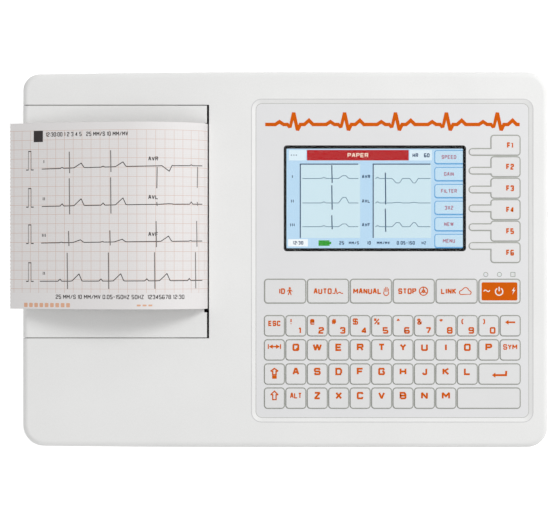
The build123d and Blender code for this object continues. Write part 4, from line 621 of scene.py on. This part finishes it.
typing_centres = {}
for row, count in enumerate(TYPING_ROWS):
    for column in range(count):
        typing_centres[row, column] = (TYPING_LEFT + TYPING_PITCH * column, TYPING_TOP - ROW_PITCH * row)
outline_rings("typing_key_lines", list(typing_centres.values()), *TYPING_KEY)
outline_rings("enter_key_line", [ENTER[:2]], ENTER[2], TYPING_KEY[1])
outline_rings("space_key_line", [SPACE[:2]], SPACE[2], TYPING_KEY[1])
key_middles = {name: middle(name)[:2] for name in FUNCTION_KEYS}
outline_rings("function_key_lines", list(key_middles.values()), *FUNCTION_KEY)


def soft_outline(v, tongue, grow):
    """Outline of a soft key whose tongue points left, grow mm outside the key."""
    half_x, half_v, r = SOFT_KEY[0] / 2, SOFT_KEY[1] / 2, KEY_CORNER
    left, right, low, high = SOFT_MIDDLE - half_x, SOFT_MIDDLE + half_x, v - half_v, v + half_v
    under, over, nose = tongue - TONGUE_HALF, tongue + TONGUE_HALF, TONGUE_LEFT + TONGUE_HALF
    path = arc_points(right - r, low + r, r + grow, -pi / 2) + arc_points(right - r, high - r, r + grow, 0)
    if over < high - r:
        path += arc_points(left + r, high - r, r + grow, pi / 2) + [(left - grow, over + grow)]
    path += arc_points(nose, tongue, TONGUE_HALF + grow, pi / 2, pi)
    if under > low + r:
        path += [(left - grow, under - grow)] + arc_points(left + r, low + r, r + grow, pi)
    return path


def panel_ink(top=INK_TOP, bottom=INK_BOTTOM):
    """Ink for the face of the panel."""
    return Ink(lambda x, v, lift: on_deck(x, v, PANEL_LIFT + lift), top, bottom)


soft_lines = panel_ink(LINE_THICK / 2 - LINE_SINK, -LINE_THICK / 2 - LINE_SINK)
soft_vs = []
for index in range(6):
    low, high = deck_span(f"key_f{index + 1}")
    soft_vs.append((low[1] + high[1]) / 2)
    tongue = soft_vs[-1] + TONGUE_SWING * (2 * index / 5 - 1)
    soft_lines.stroke(soft_outline(soft_vs[-1], tongue, LINE_CLEAR + LINE / 2), LINE, closed=True)
soft_lines.piece("soft_key_lines", grey_ink, "panel")

# ---- keypad: legends
KEY_LIFT = deck_span("key_id")[1][2]


def key_ink(top=INK_TOP, bottom=INK_BOTTOM):
    """Ink for the tops of the keys."""
    return Ink(lambda x, v, lift: on_deck(x, v, KEY_LIFT + lift), top, bottom)


def draw(ink, x, v, marks):
    """Marks round (x, v): a line's width, its points and True where it closes. Width 0 fills the outline."""
    for width, path, *closes in marks:
        path = [(x + a, v + b) for a, b in path]
        if width:
            ink.stroke(path, width, closed=any(closes))
        else:
            ink.fill(path)


def broad_arrow(v, width, height):
    """Outline of a broad arrow that points up, as on shift keys."""
    half, stem, top, neck = width / 2, width / 4.4, v + height / 2, v + height * 0.08
    foot = v - height / 2
    return [(0, top), (-half, neck), (-stem, neck), (-stem, foot), (stem, foot), (stem, neck), (half, neck)]


# Each kind of legend: x and v on its key, height, line, breadth of a letter and gap.
LETTER = (0, 1.4, 4.0, 1.0, 0.92, 0.3)
DIGIT = (2.1, -2.5, 3.6, 0.85, 0.86, 0.3)
SIGN = (-2.6, 2.3, 3.4, 0.68, 0.86, 0.3)
ESCAPE = (0, 1.3, 2.9, 0.68, 0.7, 0.3)
SYMBOLS = (0, 1.6, 3.0, 0.64, 0.74, 0.26)
OTHER = (0, 1.4, 3.1, 0.64, 0.64, 0.2)
KEY_WORD_HEIGHT, KEY_WORD_LINE = 3.1, 0.7
BACK_ARROW = ((0.9, [(2.7, 1.9), (-1.6, 1.9)]), (0, [(-2.8, 1.9), (-0.9, 0.6), (-0.9, 3.2)]))
TAB_ARROWS = (
    (0.6, [(-3.3, 0.5), (-3.3, 3.1)]),
    (0, [(-3.0, 1.8), (-0.9, 0.6), (-0.9, 3.0)]),
    (0.6, [(3.3, 0.5), (3.3, 3.1)]),
    (0, [(0.9, 3.0), (0.9, 0.6), (3.0, 1.8)]),
    (0.7, [(-1.4, 1.8), (1.4, 1.8)]),
)
CAPS_ARROW = ((0.75, broad_arrow(1.3, 4.0, 3.4), True), (0, rounded(0, -1.7, 2.5, 1.7, 0.3)))
SHIFT_ARROW = ((0.65, broad_arrow(1.5, 4.0, 4.6), True),)
ENTER_ARROW = (
    (1.1, [(3.7, 1.7), (3.5, -0.6), (-2.4, -0.6)]),
    (0, [(-4.1, -0.6), (-2.2, -2.0), (-2.2, 0.8)]),
)
WALKER = (
    (0, ellipse(2.5, 1.6, 1.2, 1.2, 12)),
    (1.1, [(2.5, 0.9), (2.5, -0.7)]),
    (0.45, [(1.1, -0.2), (1.8, 0.6), (3.2, 0.6), (3.9, -0.2)]),
    (0.55, [(1.7, -2.1), (2.2, -0.6), (2.8, -0.6), (3.3, -2.1)]),
)
PULSE_MARK = (
    (0.5, [(2.4, -1.2), (3.7, -1.2), (4.2, 1.7), (4.9, -1.4), (5.6, -0.9), (6.4, -0.5), (7.2, -1.1), (8.2, -1.2)]),
)
FINGER_TOPS = (1.5, 2.3, 2.2, 1.4)
FINGER_PITCH = 0.75
HAND = (
    (0.5, ellipse(8.3, -0.9, 2.7, 2.9, 14, pi * 0.9, pi * 1.2)),
    *[
        (0.42, [(7.2 + FINGER_PITCH * i, -0.3), (7.3 + FINGER_PITCH * i, top)])
        for i, top in enumerate(FINGER_TOPS)
    ],
)
WHEEL_X, SPOKE = 5.3, 2.1
WHEEL = (
    (0.55, ellipse(WHEEL_X, 0, 4.5, 4.5), True),
    *[
        (0.5, [(WHEEL_X, 0), (WHEEL_X + SPOKE * cos(angle), SPOKE * sin(angle))])
        for angle in (pi / 2, pi * 7 / 6, pi * 11 / 6)
    ],
    (0.5, ellipse(WHEEL_X, 0, 1.5, 1.5, 12), True),
)
CLOUD = (
    (0.5, [
        (2.6, -1.8), (7.0, -1.8), *arc_points(6.9, -0.8, 1.0, -pi / 2, pi * 0.8),
        *arc_points(4.9, 0.4, 1.6, pi * 0.05, pi * 0.8), *arc_points(2.6, -0.7, 1.1, pi * 0.5, pi * 0.95),
    ], True),
)
POWER_MARKS = (
    (0.5, [(-8.6, -0.1), (-8.0, 0.6), (-7.3, 0.5), (-6.5, -0.1), (-5.8, -0.2), (-5.2, 0.5)]),
    (0.6, ellipse(-0.2, -0.2, 4.0, 4.0, 16, pi * 0.68, pi * 1.64)),
    (0.6, [(-0.2, 0.0), (-0.2, 2.4)]),
    (0, [(8.2, 2.4), (6.7, 0.1), (7.6, 0.1), (6.9, -1.9), (8.6, 0.7), (7.7, 0.7)]),
)

legend = key_ink()


def print_on(row, column, words, kind):
    """Words of one kind on a typing key."""
    (x, v), (dx, dv, height, line, wide, gap) = typing_centres[row, column], kind
    legend.word(words, x + dx, v + dv, height, line, wide=wide, gap=gap)


for index, (digit, sign) in enumerate(zip("1234567890", "!@#$%^&*()")):
    print_on(0, index + 1, digit, DIGIT)
    print_on(0, index + 1, sign, SIGN)
print_on(0, 0, "ESC", ESCAPE)
draw(legend, *typing_centres[0, 11], BACK_ARROW)
for row, first, letters in ((1, 1, "QWERTYUIOP"), (2, 1, "ASDFGHJKL"), (3, 2, "ZXCVBNM")):
    for index, letter in enumerate(letters):
        print_on(row, first + index, letter, LETTER)
draw(legend, *typing_centres[1, 0], TAB_ARROWS)
print_on(1, 11, "SYM", SYMBOLS)
draw(legend, *typing_centres[2, 0], CAPS_ARROW)
draw(legend, *typing_centres[3, 0], SHIFT_ARROW)
print_on(3, 1, "ALT", OTHER)
draw(legend, *ENTER[:2], ENTER_ARROW)
legend.piece("typing_legends", orange_ink, "key_silicone")

for key, word, shift, marks in (
    ("id", "ID", -1.6, WALKER), ("auto", "AUTO", -2.9, PULSE_MARK), ("manual", "MANUAL", -1.9, HAND),
    ("stop", "STOP", -3.5, WHEEL), ("link", "LINK", -4.3, CLOUD),
):
    ink, (x, v) = key_ink(), key_middles["key_" + key]
    ink.word(word, x + shift, v, KEY_WORD_HEIGHT, KEY_WORD_LINE)
    draw(ink, x, v, marks)
    ink.piece("legend_" + key, orange_ink, "key_silicone", "key_" + key)

# The power key carries white marks on an orange field.
FIELD_WIDTH, FIELD_HEIGHT, FIELD_CORNER = 19.4, 9.8, 0.8
ink, (x, v) = key_ink(), key_middles["key_power"]
ink.fill(rounded(x, v - 0.1, FIELD_WIDTH, FIELD_HEIGHT, FIELD_CORNER))
ink.piece("power_key_field", orange_ink, "key_silicone", "key_power")
ink = key_ink(2 * INK_TOP, INK_TOP / 2)
draw(ink, x, v, POWER_MARKS)
ink.piece("legend_power", white_ink, "key_silicone", "key_power")

SOFT_WORD_SHIFT = 2.5
for index, v in enumerate(soft_vs):
    ink = key_ink()
    ink.word(f"F{index + 1}", SOFT_MIDDLE + SOFT_WORD_SHIFT, v, 3.2, 0.76, wide=0.62, gap=0.28)
    ink.piece(f"legend_f{index + 1}", orange_ink, "key_silicone", f"key_f{index + 1}")

# ---- panel prints
ORNAMENT_LEFT, ORNAMENT_RIGHT, ORNAMENT_V, ORNAMENT_HEIGHT, ORNAMENT_LINE = -11.0, 127.0, 73.0, 7.4, 1.9
BEATS = 5
# One beat, as shares of its width and of the ornament's height.
BEAT = (
    (0, 0), (0.2, 0), (0.28, 0.2), (0.36, 0), (0.44, 0), (0.485, -0.2), (0.56, 0.86), (0.635, -0.42), (0.69, 0),
    (0.77, 0), (0.86, 0.3), (0.94, 0), (1, 0),
)
beat_width = (ORNAMENT_RIGHT - ORNAMENT_LEFT) / BEATS
ornament = []
for index in range(BEATS):
    start = ORNAMENT_LEFT + index * beat_width
    beat = BEAT if index == 0 else BEAT[1:]
    ornament += [(start + beat_width * a, ORNAMENT_V + ORNAMENT_HEIGHT * b) for a, b in beat]
pulse = panel_ink()
pulse.stroke(ornament, ORNAMENT_LINE)
pulse.piece("pulse_ornament", orange_ink, "panel")

PANEL_X, PANEL_V, PANEL_WIDTH, PANEL_HEIGHT = middle("keypad_panel")


def round_panel(ink, reach, corner, line):
    """Closed line round the panel, reach mm outside its edge."""
    width, height = PANEL_WIDTH + 2 * reach, PANEL_HEIGHT + 2 * reach
    ink.stroke(rounded(PANEL_X, PANEL_V, width, height, corner), line, closed=True)


# Fine grey line round the recess: painted shade where the deck meets the recess's sloped rim.
recess_shade_line = Ink(on_deck, 0.05, -0.1)
round_panel(recess_shade_line, reach=2.5, corner=5.3, line=0.42)
recess_shade_line.piece("recess_rim_shade", rim_shade_abs, "casing")
# A grey band bridges the gap round the panel: painted shade of that gap.
edge = panel_ink(-0.05, -0.45)
round_panel(edge, reach=0.15, corner=3.3, line=0.56)
edge.piece("panel_gap_shade", gap_shade_ink, "panel")

# Thin grey rings round the three indicators, of which the last is square.
LENS_V, LENS_XS, LENS_RING, LENS_LINE = -8.35, (108.6, 116.0, 123.3), 2.35, 0.32
lens_ink = panel_ink()
for x in LENS_XS[:2]:
    lens_ink.stroke(ellipse(x, LENS_V, LENS_RING, LENS_RING), LENS_LINE, closed=True)
lens_ink.stroke(rounded(LENS_XS[2], LENS_V, LENS_RING, LENS_RING, 0.2), LENS_LINE, closed=True)
lens_ink.piece("indicator_rings", grey_ink, "panel")

# ---- display
window_underside = deck_span("display_window")[0][2]
WINDOW_X, WINDOW_V, WINDOW_WIDTH, WINDOW_HEIGHT = middle("display_window")
SCREEN_WIDTH, SCREEN_HEIGHT = 95.8, 54.1
lcd_top = deck_span("lcd_module")[1][2]


def window_outline(grow, corner):
    """Outline of the window, grow mm outside its edge."""
    return rounded(WINDOW_X, WINDOW_V, WINDOW_WIDTH + 2 * grow, WINDOW_HEIGHT + 2 * grow, corner)


def frame_band(ink, outer, inner):
    """Flat band between two outlines with the same number of points."""
    count = len(outer)
    faces = [(i, (i + 1) % count, count + (i + 1) % count, count + i) for i in range(count)]
    ink.add(list(outer) + list(inner), faces)


# Black border, printed on the underside of the window.
border = Ink(on_deck, window_underside - 0.005, window_underside - 0.04)
frame_band(border, window_outline(-0.05, 0.9), rounded(WINDOW_X, WINDOW_V, SCREEN_WIDTH, SCREEN_HEIGHT, 0.5))
border.piece("window_border", black_border_ink, "display_glass")
# The overlay film overlaps the window's corners, so its opening is rounder than the window.
lip = panel_ink(0.03, -0.06)
frame_band(lip, window_outline(0.5, 0.8), window_outline(-0.025, 1.7))
lip.piece("window_lip", overlay_film, "panel")

SCREEN_LAYER = 0.03


def screen_ink(layer):
    """Ink on the lit screen, higher with each layer. Its x and v count from the picture's lower left."""
    left, bottom, base = WINDOW_X - SCREEN_WIDTH / 2, WINDOW_V - SCREEN_HEIGHT / 2, lcd_top + SCREEN_LAYER * layer
    return Ink(lambda x, v, lift: on_deck(left + x, bottom + v, base + lift), INK_TOP, 0.0)


def blocks(name, tone, code, layer, *shapes):
    """Rounded blocks (left, right, low, high, radius) of one colour on the screen."""
    ink = screen_ink(layer)
    for left, right, low, high, radius in shapes:
        ink.fill(rounded((left + right) / 2, (low + high) / 2, right - left, high - low, radius))
    ink.piece(name, glow(tone, code), "display_glass")


TOP_LOW, TOP_HIGH = 47.7, 53.4
LEFT_AXIS, RIGHT_AXIS, AXIS_TOP, AXIS_LOW = 7.5, 47.1, 45.7, 5.6
LEFT_END, RIGHT_END = 39.0, 78.2
TAB_LEFT, TAB_HALF = 80.3, 3.75
TABS = ((49.55, "SPEED"), (40.3, "GAIN"), (31.1, "FILTER"), (22.0, "3X2"), (13.1, "NEW"), (4.0, "MENU"))
blocks("screen_field", "screen_sky_blue", "#B9DAF2", 0, (0, SCREEN_WIDTH, 0, SCREEN_HEIGHT, 0.2))
blocks(
    "screen_plots", "screen_mist_blue", "#CEE6EF", 1,
    (LEFT_AXIS, LEFT_END + 1.0, AXIS_LOW, AXIS_TOP, 0.1), (RIGHT_AXIS, RIGHT_END + 0.4, AXIS_LOW, AXIS_TOP, 0.1),
)
blocks(
    "screen_cells", "screen_pale_blue", "#DCEEF7", 1,
    (1.3, 10.6, TOP_LOW, TOP_HIGH, 0.2), (66.9, 79.0, TOP_LOW, TOP_HIGH, 0.2),
)
blocks("screen_banner", "screen_crimson", "#B4161B", 1, (11.1, 66.4, TOP_LOW, TOP_HIGH, 0.3))
for name, tone, code, layer, rim, low, high, corner in (
    ("screen_tab_edges", "screen_tab_edge", "#62A6DA", 1, 0.0, -0.3, 0.0, 1.5),
    ("screen_tabs", "screen_tab_fill", "#C3E0F2", 2, 0.5, 0.5, -0.4, 1.1),
):
    corners = (0, 0, corner, corner)
    blocks(name, tone, code, layer, *[
        (TAB_LEFT + rim, SCREEN_WIDTH, v - TAB_HALF + low, v + TAB_HALF + high, corners) for v, _ in TABS
    ])
blocks("screen_clock_box", "screen_white", "#F3F9FC", 1, (0.9, 11.7, 1.0, 4.9, 0.2))
blocks(
    "screen_battery", "screen_green", "#2F9A2C", 1, (17.4, 23.4, 1.3, 4.3, 0.2), (23.3, 24.3, 2.2, 3.5, 0.1),
)
tab_words = screen_ink(3)
for v, word in TABS:
    tab_words.word(word, (TAB_LEFT + SCREEN_WIDTH) / 2 + 0.2, v, 2.1, 0.42, wide=0.66, gap=0.26)
tab_words.piece("screen_tab_words", glow("screen_mauve", "#A96A80"), "display_glass")

marks = screen_ink(2)
for word, x, v, height in (
    ("12:30", 6.3, 2.95, 1.9), ("---", 4.0, 50.6, 2.0), ("HR", 70.0, 50.5, 2.2), ("60", 76.2, 50.5, 2.2),
    ("25", 30.0, 2.9, 1.9), ("MM/S", 36.6, 2.9, 1.7), ("10", 44.8, 2.9, 1.9), ("MM/MV", 52.6, 2.9, 1.7),
    ("0.05-150", 64.8, 2.9, 1.9), ("HZ", 74.6, 2.9, 1.7),
):
    marks.word(word, x, v, height, height * 0.22, wide=0.64, gap=0.24)
for start, end in ((LEFT_AXIS, LEFT_END), (RIGHT_AXIS, RIGHT_END)):
    marks.stroke([(end, AXIS_TOP), (start, AXIS_TOP), (start, AXIS_LOW)], 0.6)
# Each row of the screen: its base line, then the left and the right plot's lead, spike up, spike down and wave.
SCREEN_ROWS = (
    (37.9, ("I", 7.2, 2.4, 1.5), ("AVR", 3.2, 12.6, -2.4)),
    (24.6, ("II", 9.6, 3.6, 3.0), ("AVL", 1.0, 0.8, 0.3)),
    (11.7, ("III", 6.2, 1.4, 1.5), ("AVF", 9.8, 2.8, 2.2)),
)
LEAD_RISE, LEAD_HEIGHT, LEAD_LINE = 1.0, 1.9, 0.42
PLOT_SIDES = ((3.2, 0.55, LEFT_AXIS + 1.2, LEFT_END, 24.7), (43.2, 0.2, RIGHT_AXIS + 1.2, RIGHT_END, 53.8))
plots = screen_ink(3)
for base, *leads in SCREEN_ROWS:
    for (lead, *_), (x, gap, *_) in zip(leads, PLOT_SIDES):
        marks.word(lead, x, base + LEAD_RISE, LEAD_HEIGHT, LEAD_LINE, gap=gap)
    for (_, up, down, wave), (_, _, start, end, spike_x) in zip(leads, PLOT_SIDES):
        beat = [
            (start, base), (max(spike_x - 5.6, start + 0.3), base), (max(spike_x - 4.4, start + 1.0), base + 0.7),
            (spike_x - 3.2, base), (spike_x + 3.6, base), (spike_x + 5.8, base + wave),
            (spike_x + 7.6, base + wave), (spike_x + 9.2, base),
        ]
        if start > RIGHT_AXIS:
            beat += [
                (spike_x + 13.2, base), (spike_x + 15.0, base + wave), (spike_x + 16.2, base + wave),
                (spike_x + 17.8, base),
            ]
        plots.stroke(beat + [(end, base)], 0.38)
        marks.stroke([(spike_x - 0.1, base + up), (spike_x + 0.1, base - down)], 0.6)
marks.piece("screen_marks", glow("screen_navy", "#234468"), "display_glass")
plots.piece("screen_traces", glow("screen_slate", "#587B91"), "display_glass")
caption = screen_ink(2)
caption.word("PAPER", 38.8, (TOP_LOW + TOP_HIGH) / 2, 2.3, 0.46, wide=0.84, gap=0.4)
caption.piece("screen_banner_word", glow("screen_cream", "#F0DFCB"), "display_glass")

# ---- recording paper
PACK_EXIT = (-78.0, -26.85)
PLATEN_AXIS = (-49.5, -14.0)
WRAP_RADIUS = 7.3
SLOT_TOP = (-42.2, -1.0)
ARCH = ((-46.6, 8.6), (-61.6, 16.8), (-84.0, 18.8), (-149.1, 1.3))
PAPER_HALF_THICK = 0.05
STEP = 0.8


def tangent_arc(start, heading, end):
    """Points of the arc that leaves start along heading and reaches end, and its heading there."""
    side = (-heading[1], heading[0])
    dx, dn = end[0] - start[0], end[1] - start[1]
    radius = (dx * dx + dn * dn) / (2 * (dx * side[0] + dn * side[1]))
    centre = (start[0] + side[0] * radius, start[1] + side[1] * radius)
    first = atan2(start[1] - centre[1], start[0] - centre[0])
    sweep = (atan2(end[1] - centre[1], end[0] - centre[0]) - first) % (2 * pi)
    if radius < 0:
        sweep -= 2 * pi
    count = max(2, int(abs(sweep * radius) / STEP))
    arc = arc_points(*centre, abs(radius), first, sweep, count)[1:]
    sign = 1 if radius > 0 else -1
    return arc, (-sin(first + sweep) * sign, cos(first + sweep) * sign)


def along(path):
    """Place function of a sheet whose flat x follows path, points (x, lift), and how far along each point is."""
    reached = [0.0]
    for a, b in zip(path, path[1:]):
        reached.append(reached[-1] + hypot(b[0] - a[0], b[1] - a[1]))
    headings = []
    for i in range(len(path)):
        a, b = path[max(i - 1, 0)], path[min(i + 1, len(path) - 1)]
        size = hypot(b[0] - a[0], b[1] - a[1])
        headings.append(((b[0] - a[0]) / size, (b[1] - a[1]) / size))

    def place(e, v, lift):
        i = min(max(bisect_right(reached, e) - 1, 0), len(path) - 2)
        share = (e - reached[i]) / (reached[i + 1] - reached[i])
        (x0, n0), (x1, n1), (hx0, hn0), (hx1, hn1) = path[i], path[i + 1], headings[i], headings[i + 1]
        hx, hn = hx0 + (hx1 - hx0) * share, hn0 + (hn1 - hn0) * share
        return on_deck(x0 + (x1 - x0) * share - hn * lift, v, n0 + (n1 - n0) * share + hx * lift)

    return place, reached


def evenly(a, b):
    count = max(1, int(hypot(b[0] - a[0], b[1] - a[1]) / STEP))
    return [(a[0] + (b[0] - a[0]) * i / count, a[1] + (b[1] - a[1]) * i / count) for i in range(1, count + 1)]


to_axis = (PLATEN_AXIS[0] - PACK_EXIT[0], PLATEN_AXIS[1] - PACK_EXIT[1])
reach = hypot(*to_axis)
touch = atan2(to_axis[1], to_axis[0]) - (pi / 2 + atan2(WRAP_RADIUS, (reach ** 2 - WRAP_RADIUS ** 2) ** 0.5))
wrap_start = (PLATEN_AXIS[0] + WRAP_RADIUS * cos(touch), PLATEN_AXIS[1] + WRAP_RADIUS * sin(touch))
course = [PACK_EXIT] + evenly(PACK_EXIT, wrap_start)
turns = max(2, int(-touch * WRAP_RADIUS / STEP))
course += arc_points(*PLATEN_AXIS, WRAP_RADIUS, touch, -touch, turns)[1:]
course += evenly(course[-1], SLOT_TOP)
heading = (0.0, 1.0)
for stop in ARCH:
    arc, heading = tangent_arc(course[-1], heading, stop)
    course += arc
# The flat sheet counts from its free end, so its printed side faces out of the deck.
on_paper, paper_stations = along(course[::-1])
PAPER_LENGTH = paper_stations[-1]


def grid_faces(rows, columns):
    """Faces of a grid of points that are numbered row by row."""
    firsts = [i * (columns + 1) + j for i in range(rows) for j in range(columns)]
    return [(first, first + columns + 1, first + columns + 2, first + 1) for first in firsts]


# The free end is torn against a toothed bar.
TOOTH, BITE = 1.0, 0.35
ROW = 1.6
strip = Ink(on_paper, PAPER_HALF_THICK, -PAPER_HALF_THICK)
columns = int(PAPER_WIDTH / TOOTH)
rows = int(PAPER_LENGTH / ROW)
sheet_points = [
    (PAPER_LENGTH * i / rows + (BITE * (j % 2) if i == 0 else 0.0), PAPER_MID + PAPER_WIDTH * (j / columns - 0.5))
    for i in range(rows + 1) for j in range(columns + 1)
]
strip.add(sheet_points, grid_faces(rows, columns))
recording_paper = strip.piece("recording_paper", chart_paper, "paper")
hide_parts("paper_strip")

TRACE, SPIKE, CALIBRATION_SIDE = 0.42, 0.5, 0.25
# A run of a trace is short enough to follow the sheet.
RUN = 1.5


def paper_ink(top=0.03):
    """Ink on the printed side of the paper."""
    return Ink(on_paper, PAPER_HALF_THICK + top, PAPER_HALF_THICK - 0.02)


# The thin fast strokes lie over the slow ones.
traces, spikes = paper_ink(), paper_ink(0.06)


def trace(points, base, drift):
    """Draws (e, height) points over a base line that drifts, cut into short runs so that it follows the sheet."""
    run = []
    for (e0, h0), (e1, h1) in zip(points, points[1:]):
        count = max(1, int((e1 - e0) / RUN))
        run += [(e0 + (e1 - e0) * i / count, h0 + (h1 - h0) * i / count) for i in range(count)]
    run.append(points[-1])
    traces.stroke([(e, base + drift * e / 100 + h) for e, h in run], TRACE)


def spike(e, base, drift, up, down):
    """Thin fast stroke of a beat."""
    v = base + drift * e / 100
    spikes.stroke([(e - 0.1, v + up), (e + 0.1, v - down)], SPIKE)


R_WAVES = (35.4, 58.4, 83.2)
LAST_WAVE = 106.5
for base, drift, name, p_wave, tall, deep, hump, shift, tail in (
    (48.0, 2.0, "I", 0.5, 8.8, 2.7, 2.5, 0.0, ("AVR", -11.9, 0.6, -2.9)),
    (28.0, 1.4, "II", 1.2, 14.8, 4.5, 3.7, 0.0, ("AVL", 1.2, 0.8, 0.3)),
    (8.4, 1.2, "III", 0.3, 6.2, 1.8, 1.4, -0.4, ("AVF", 10.8, 3.0, 2.8)),
    (-12.0, 0.5, "II", 1.1, 15.2, 4.2, 3.9, -1.2, (None, 15.2, 4.2, 3.9)),
):
    # Calibration pulse, 10 mm high and 5 mm long on the paper.
    traces.stroke([(10.0, base), (11.4, base)], SPIKE)
    spikes.stroke([(11.4, base), (11.4, base + 9.9)], CALIBRATION_SIDE)
    traces.stroke([(11.3, base + 10), (13.1, base + 10)], SPIKE)
    spikes.stroke([(13.0, base + 9.9), (13.0, base)], CALIBRATION_SIDE)
    traces.stroke([(13.0, base), (14.5, base)], SPIKE)
    traces.word(name, 20.6, base + 4.4, 1.9, 0.36, gap=0.5)
    points = [(19.4 + shift, 0.0)]
    for beat_index, wave in enumerate(R_WAVES):
        wave += shift
        third = beat_index == 2 and tail[0]
        up, down, high, pre = (tail[1], tail[2], tail[3], 0.0) if third else (tall, deep, hump, p_wave)
        points += [(wave - 5.4, 0.0), (wave - 4.2, pre), (wave - 3.2, 0.0), (wave - 0.4, 0.0), (wave + 0.9, 0.0)]
        points += [(wave + 2.6, 0.1), (wave + 6.6, high), (wave + 8.2, 0.2), (wave + 8.9, 0.0)]
        spike(wave, base, drift, up, down)
    last = LAST_WAVE + shift
    points += [(last - 5.0, 0.0), (last - 4.0, p_wave), (last - 3.0, 0.0), (LAST_WAVE + 3.5, 0.0)]
    spike(last, base, drift, tail[1], tail[2])
    trace(points, base, drift)
    if tail[0]:
        traces.word(tail[0], 81.2, base + drift * 0.8 + 3.9, 2.2, 0.42, gap=0.25)

# A black field at the head of the print, and the settings along both edges.
traces.stroke([(14.6 + 0.9 * i, 66.0) for i in range(7)], 6.1)
for text, e, v, wide, gap in (
    ("12:30:00 1 2 3 4 5   25 MM/S 10 MM/MV", 21.8, 66.9, 0.56, 0.26),
    ("25 MM/S 10 MM/MV 0.05-150HZ 50HZ  12345678 12:30", 27.5, -20.2, 0.62, 0.28),
):
    traces.word(text, e, v, 2.3, 0.36, align=0.0, wide=wide, gap=gap)
traces.piece("paper_traces", thermal_black, "paper")
spikes.piece("paper_spikes", thermal_grey, "paper")

# The paper maker's printed margin: plain bars, pre-printed in pale orange.
margin = paper_ink()
MARGIN_V, BAR_WIDTH, BAR_PITCH = -24.7, 2.1, 3.1
for count, first, height, corner in ((9, 9.8, 2.3, 0.4), (3, 73.5, 0.92, 0.3)):
    for index in range(count):
        margin.fill(rounded(first + BAR_PITCH * index, MARGIN_V, BAR_WIDTH, height, corner))
margin.piece("paper_margin_bars", pale_orange_ink, "paper")

# ---- folded paper pack
pack_low, pack_high = deck_span("paper_pack")
# Real sheets are 0.06 mm thick; a fold every 0.34 mm is as fine as shows.
LEAF_PITCH = 0.34
leaf_count = int((pack_high[2] - pack_low[2]) / LEAF_PITCH)
fold = LEAF_PITCH / 2
ends = (pack_low[0] + fold, pack_high[0] - fold)
zigzag = []
for leaf in range(leaf_count):
    level = pack_low[2] + fold + leaf * LEAF_PITCH
    side = 1 if leaf % 2 == 0 else -1
    start, end = ends[::side]
    zigzag += [(start, level), (end, level)]
    if leaf < leaf_count - 1:
        zigzag += [(end + side * fold * cos(a), level + fold + fold * sin(a)) for a in (-pi / 4, 0.0, pi / 4)]
fold_place, stations = along(zigzag)
leaves = Ink(fold_place, PAPER_HALF_THICK, -PAPER_HALF_THICK)
leaf_points = [(e, v) for e in stations for v in (pack_low[1], pack_high[1])]
leaves.add(leaf_points, grid_faces(len(stations) - 1, 1))
pack_piece = leaves.piece("paper_pack_leaves", chart_paper, "paper")
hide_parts("paper_pack")

# ---- socket contacts
lan_low, lan_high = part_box("lan_port")
lan_middle = (lan_low.x + lan_high.x) / 2
WAYS, WAY_PITCH = 8, 1.02
lan_spots = [lan_middle + (i - (WAYS - 1) / 2) * WAY_PITCH * MM for i in range(WAYS)]
grown(
    "network_contacts", spring_tree, [(x, lan_high.y, (lan_low.z + lan_high.z) / 2) for x in lan_spots], "root",
    "black_plastic", Start=(0, -1.8 * MM, 3.0 * MM), Bend=(0, -3.4 * MM, 3.2 * MM), End=(0, -10.0 * MM, 0.2 * MM),
    Width=0.35 * MM, Thick=0.3 * MM, Turn=(0, 0, 0), Material=gold_flash,
)

USB_PITCH = 2.5
for name, count, rise in (("usb_host", 4, 2.35), ("usb_device", 2, 3.75)):
    low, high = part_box(name + "_port")
    centre, tongue_face = (low.x + high.x) / 2, low.z + rise * MM
    grown(
        name + "_contacts", spring_tree,
        [(centre + (i - (count - 1) / 2) * USB_PITCH * MM, high.y, tongue_face) for i in range(count)],
        "root", "steel", Start=(0, -1.9 * MM, 0), Bend=(0, -5.0 * MM, -0.12 * MM), End=(0, -9.0 * MM, 0),
        Width=1.1 * MM, Thick=0.2 * MM, Turn=(0, 0, 0), Material=gold_flash,
    )
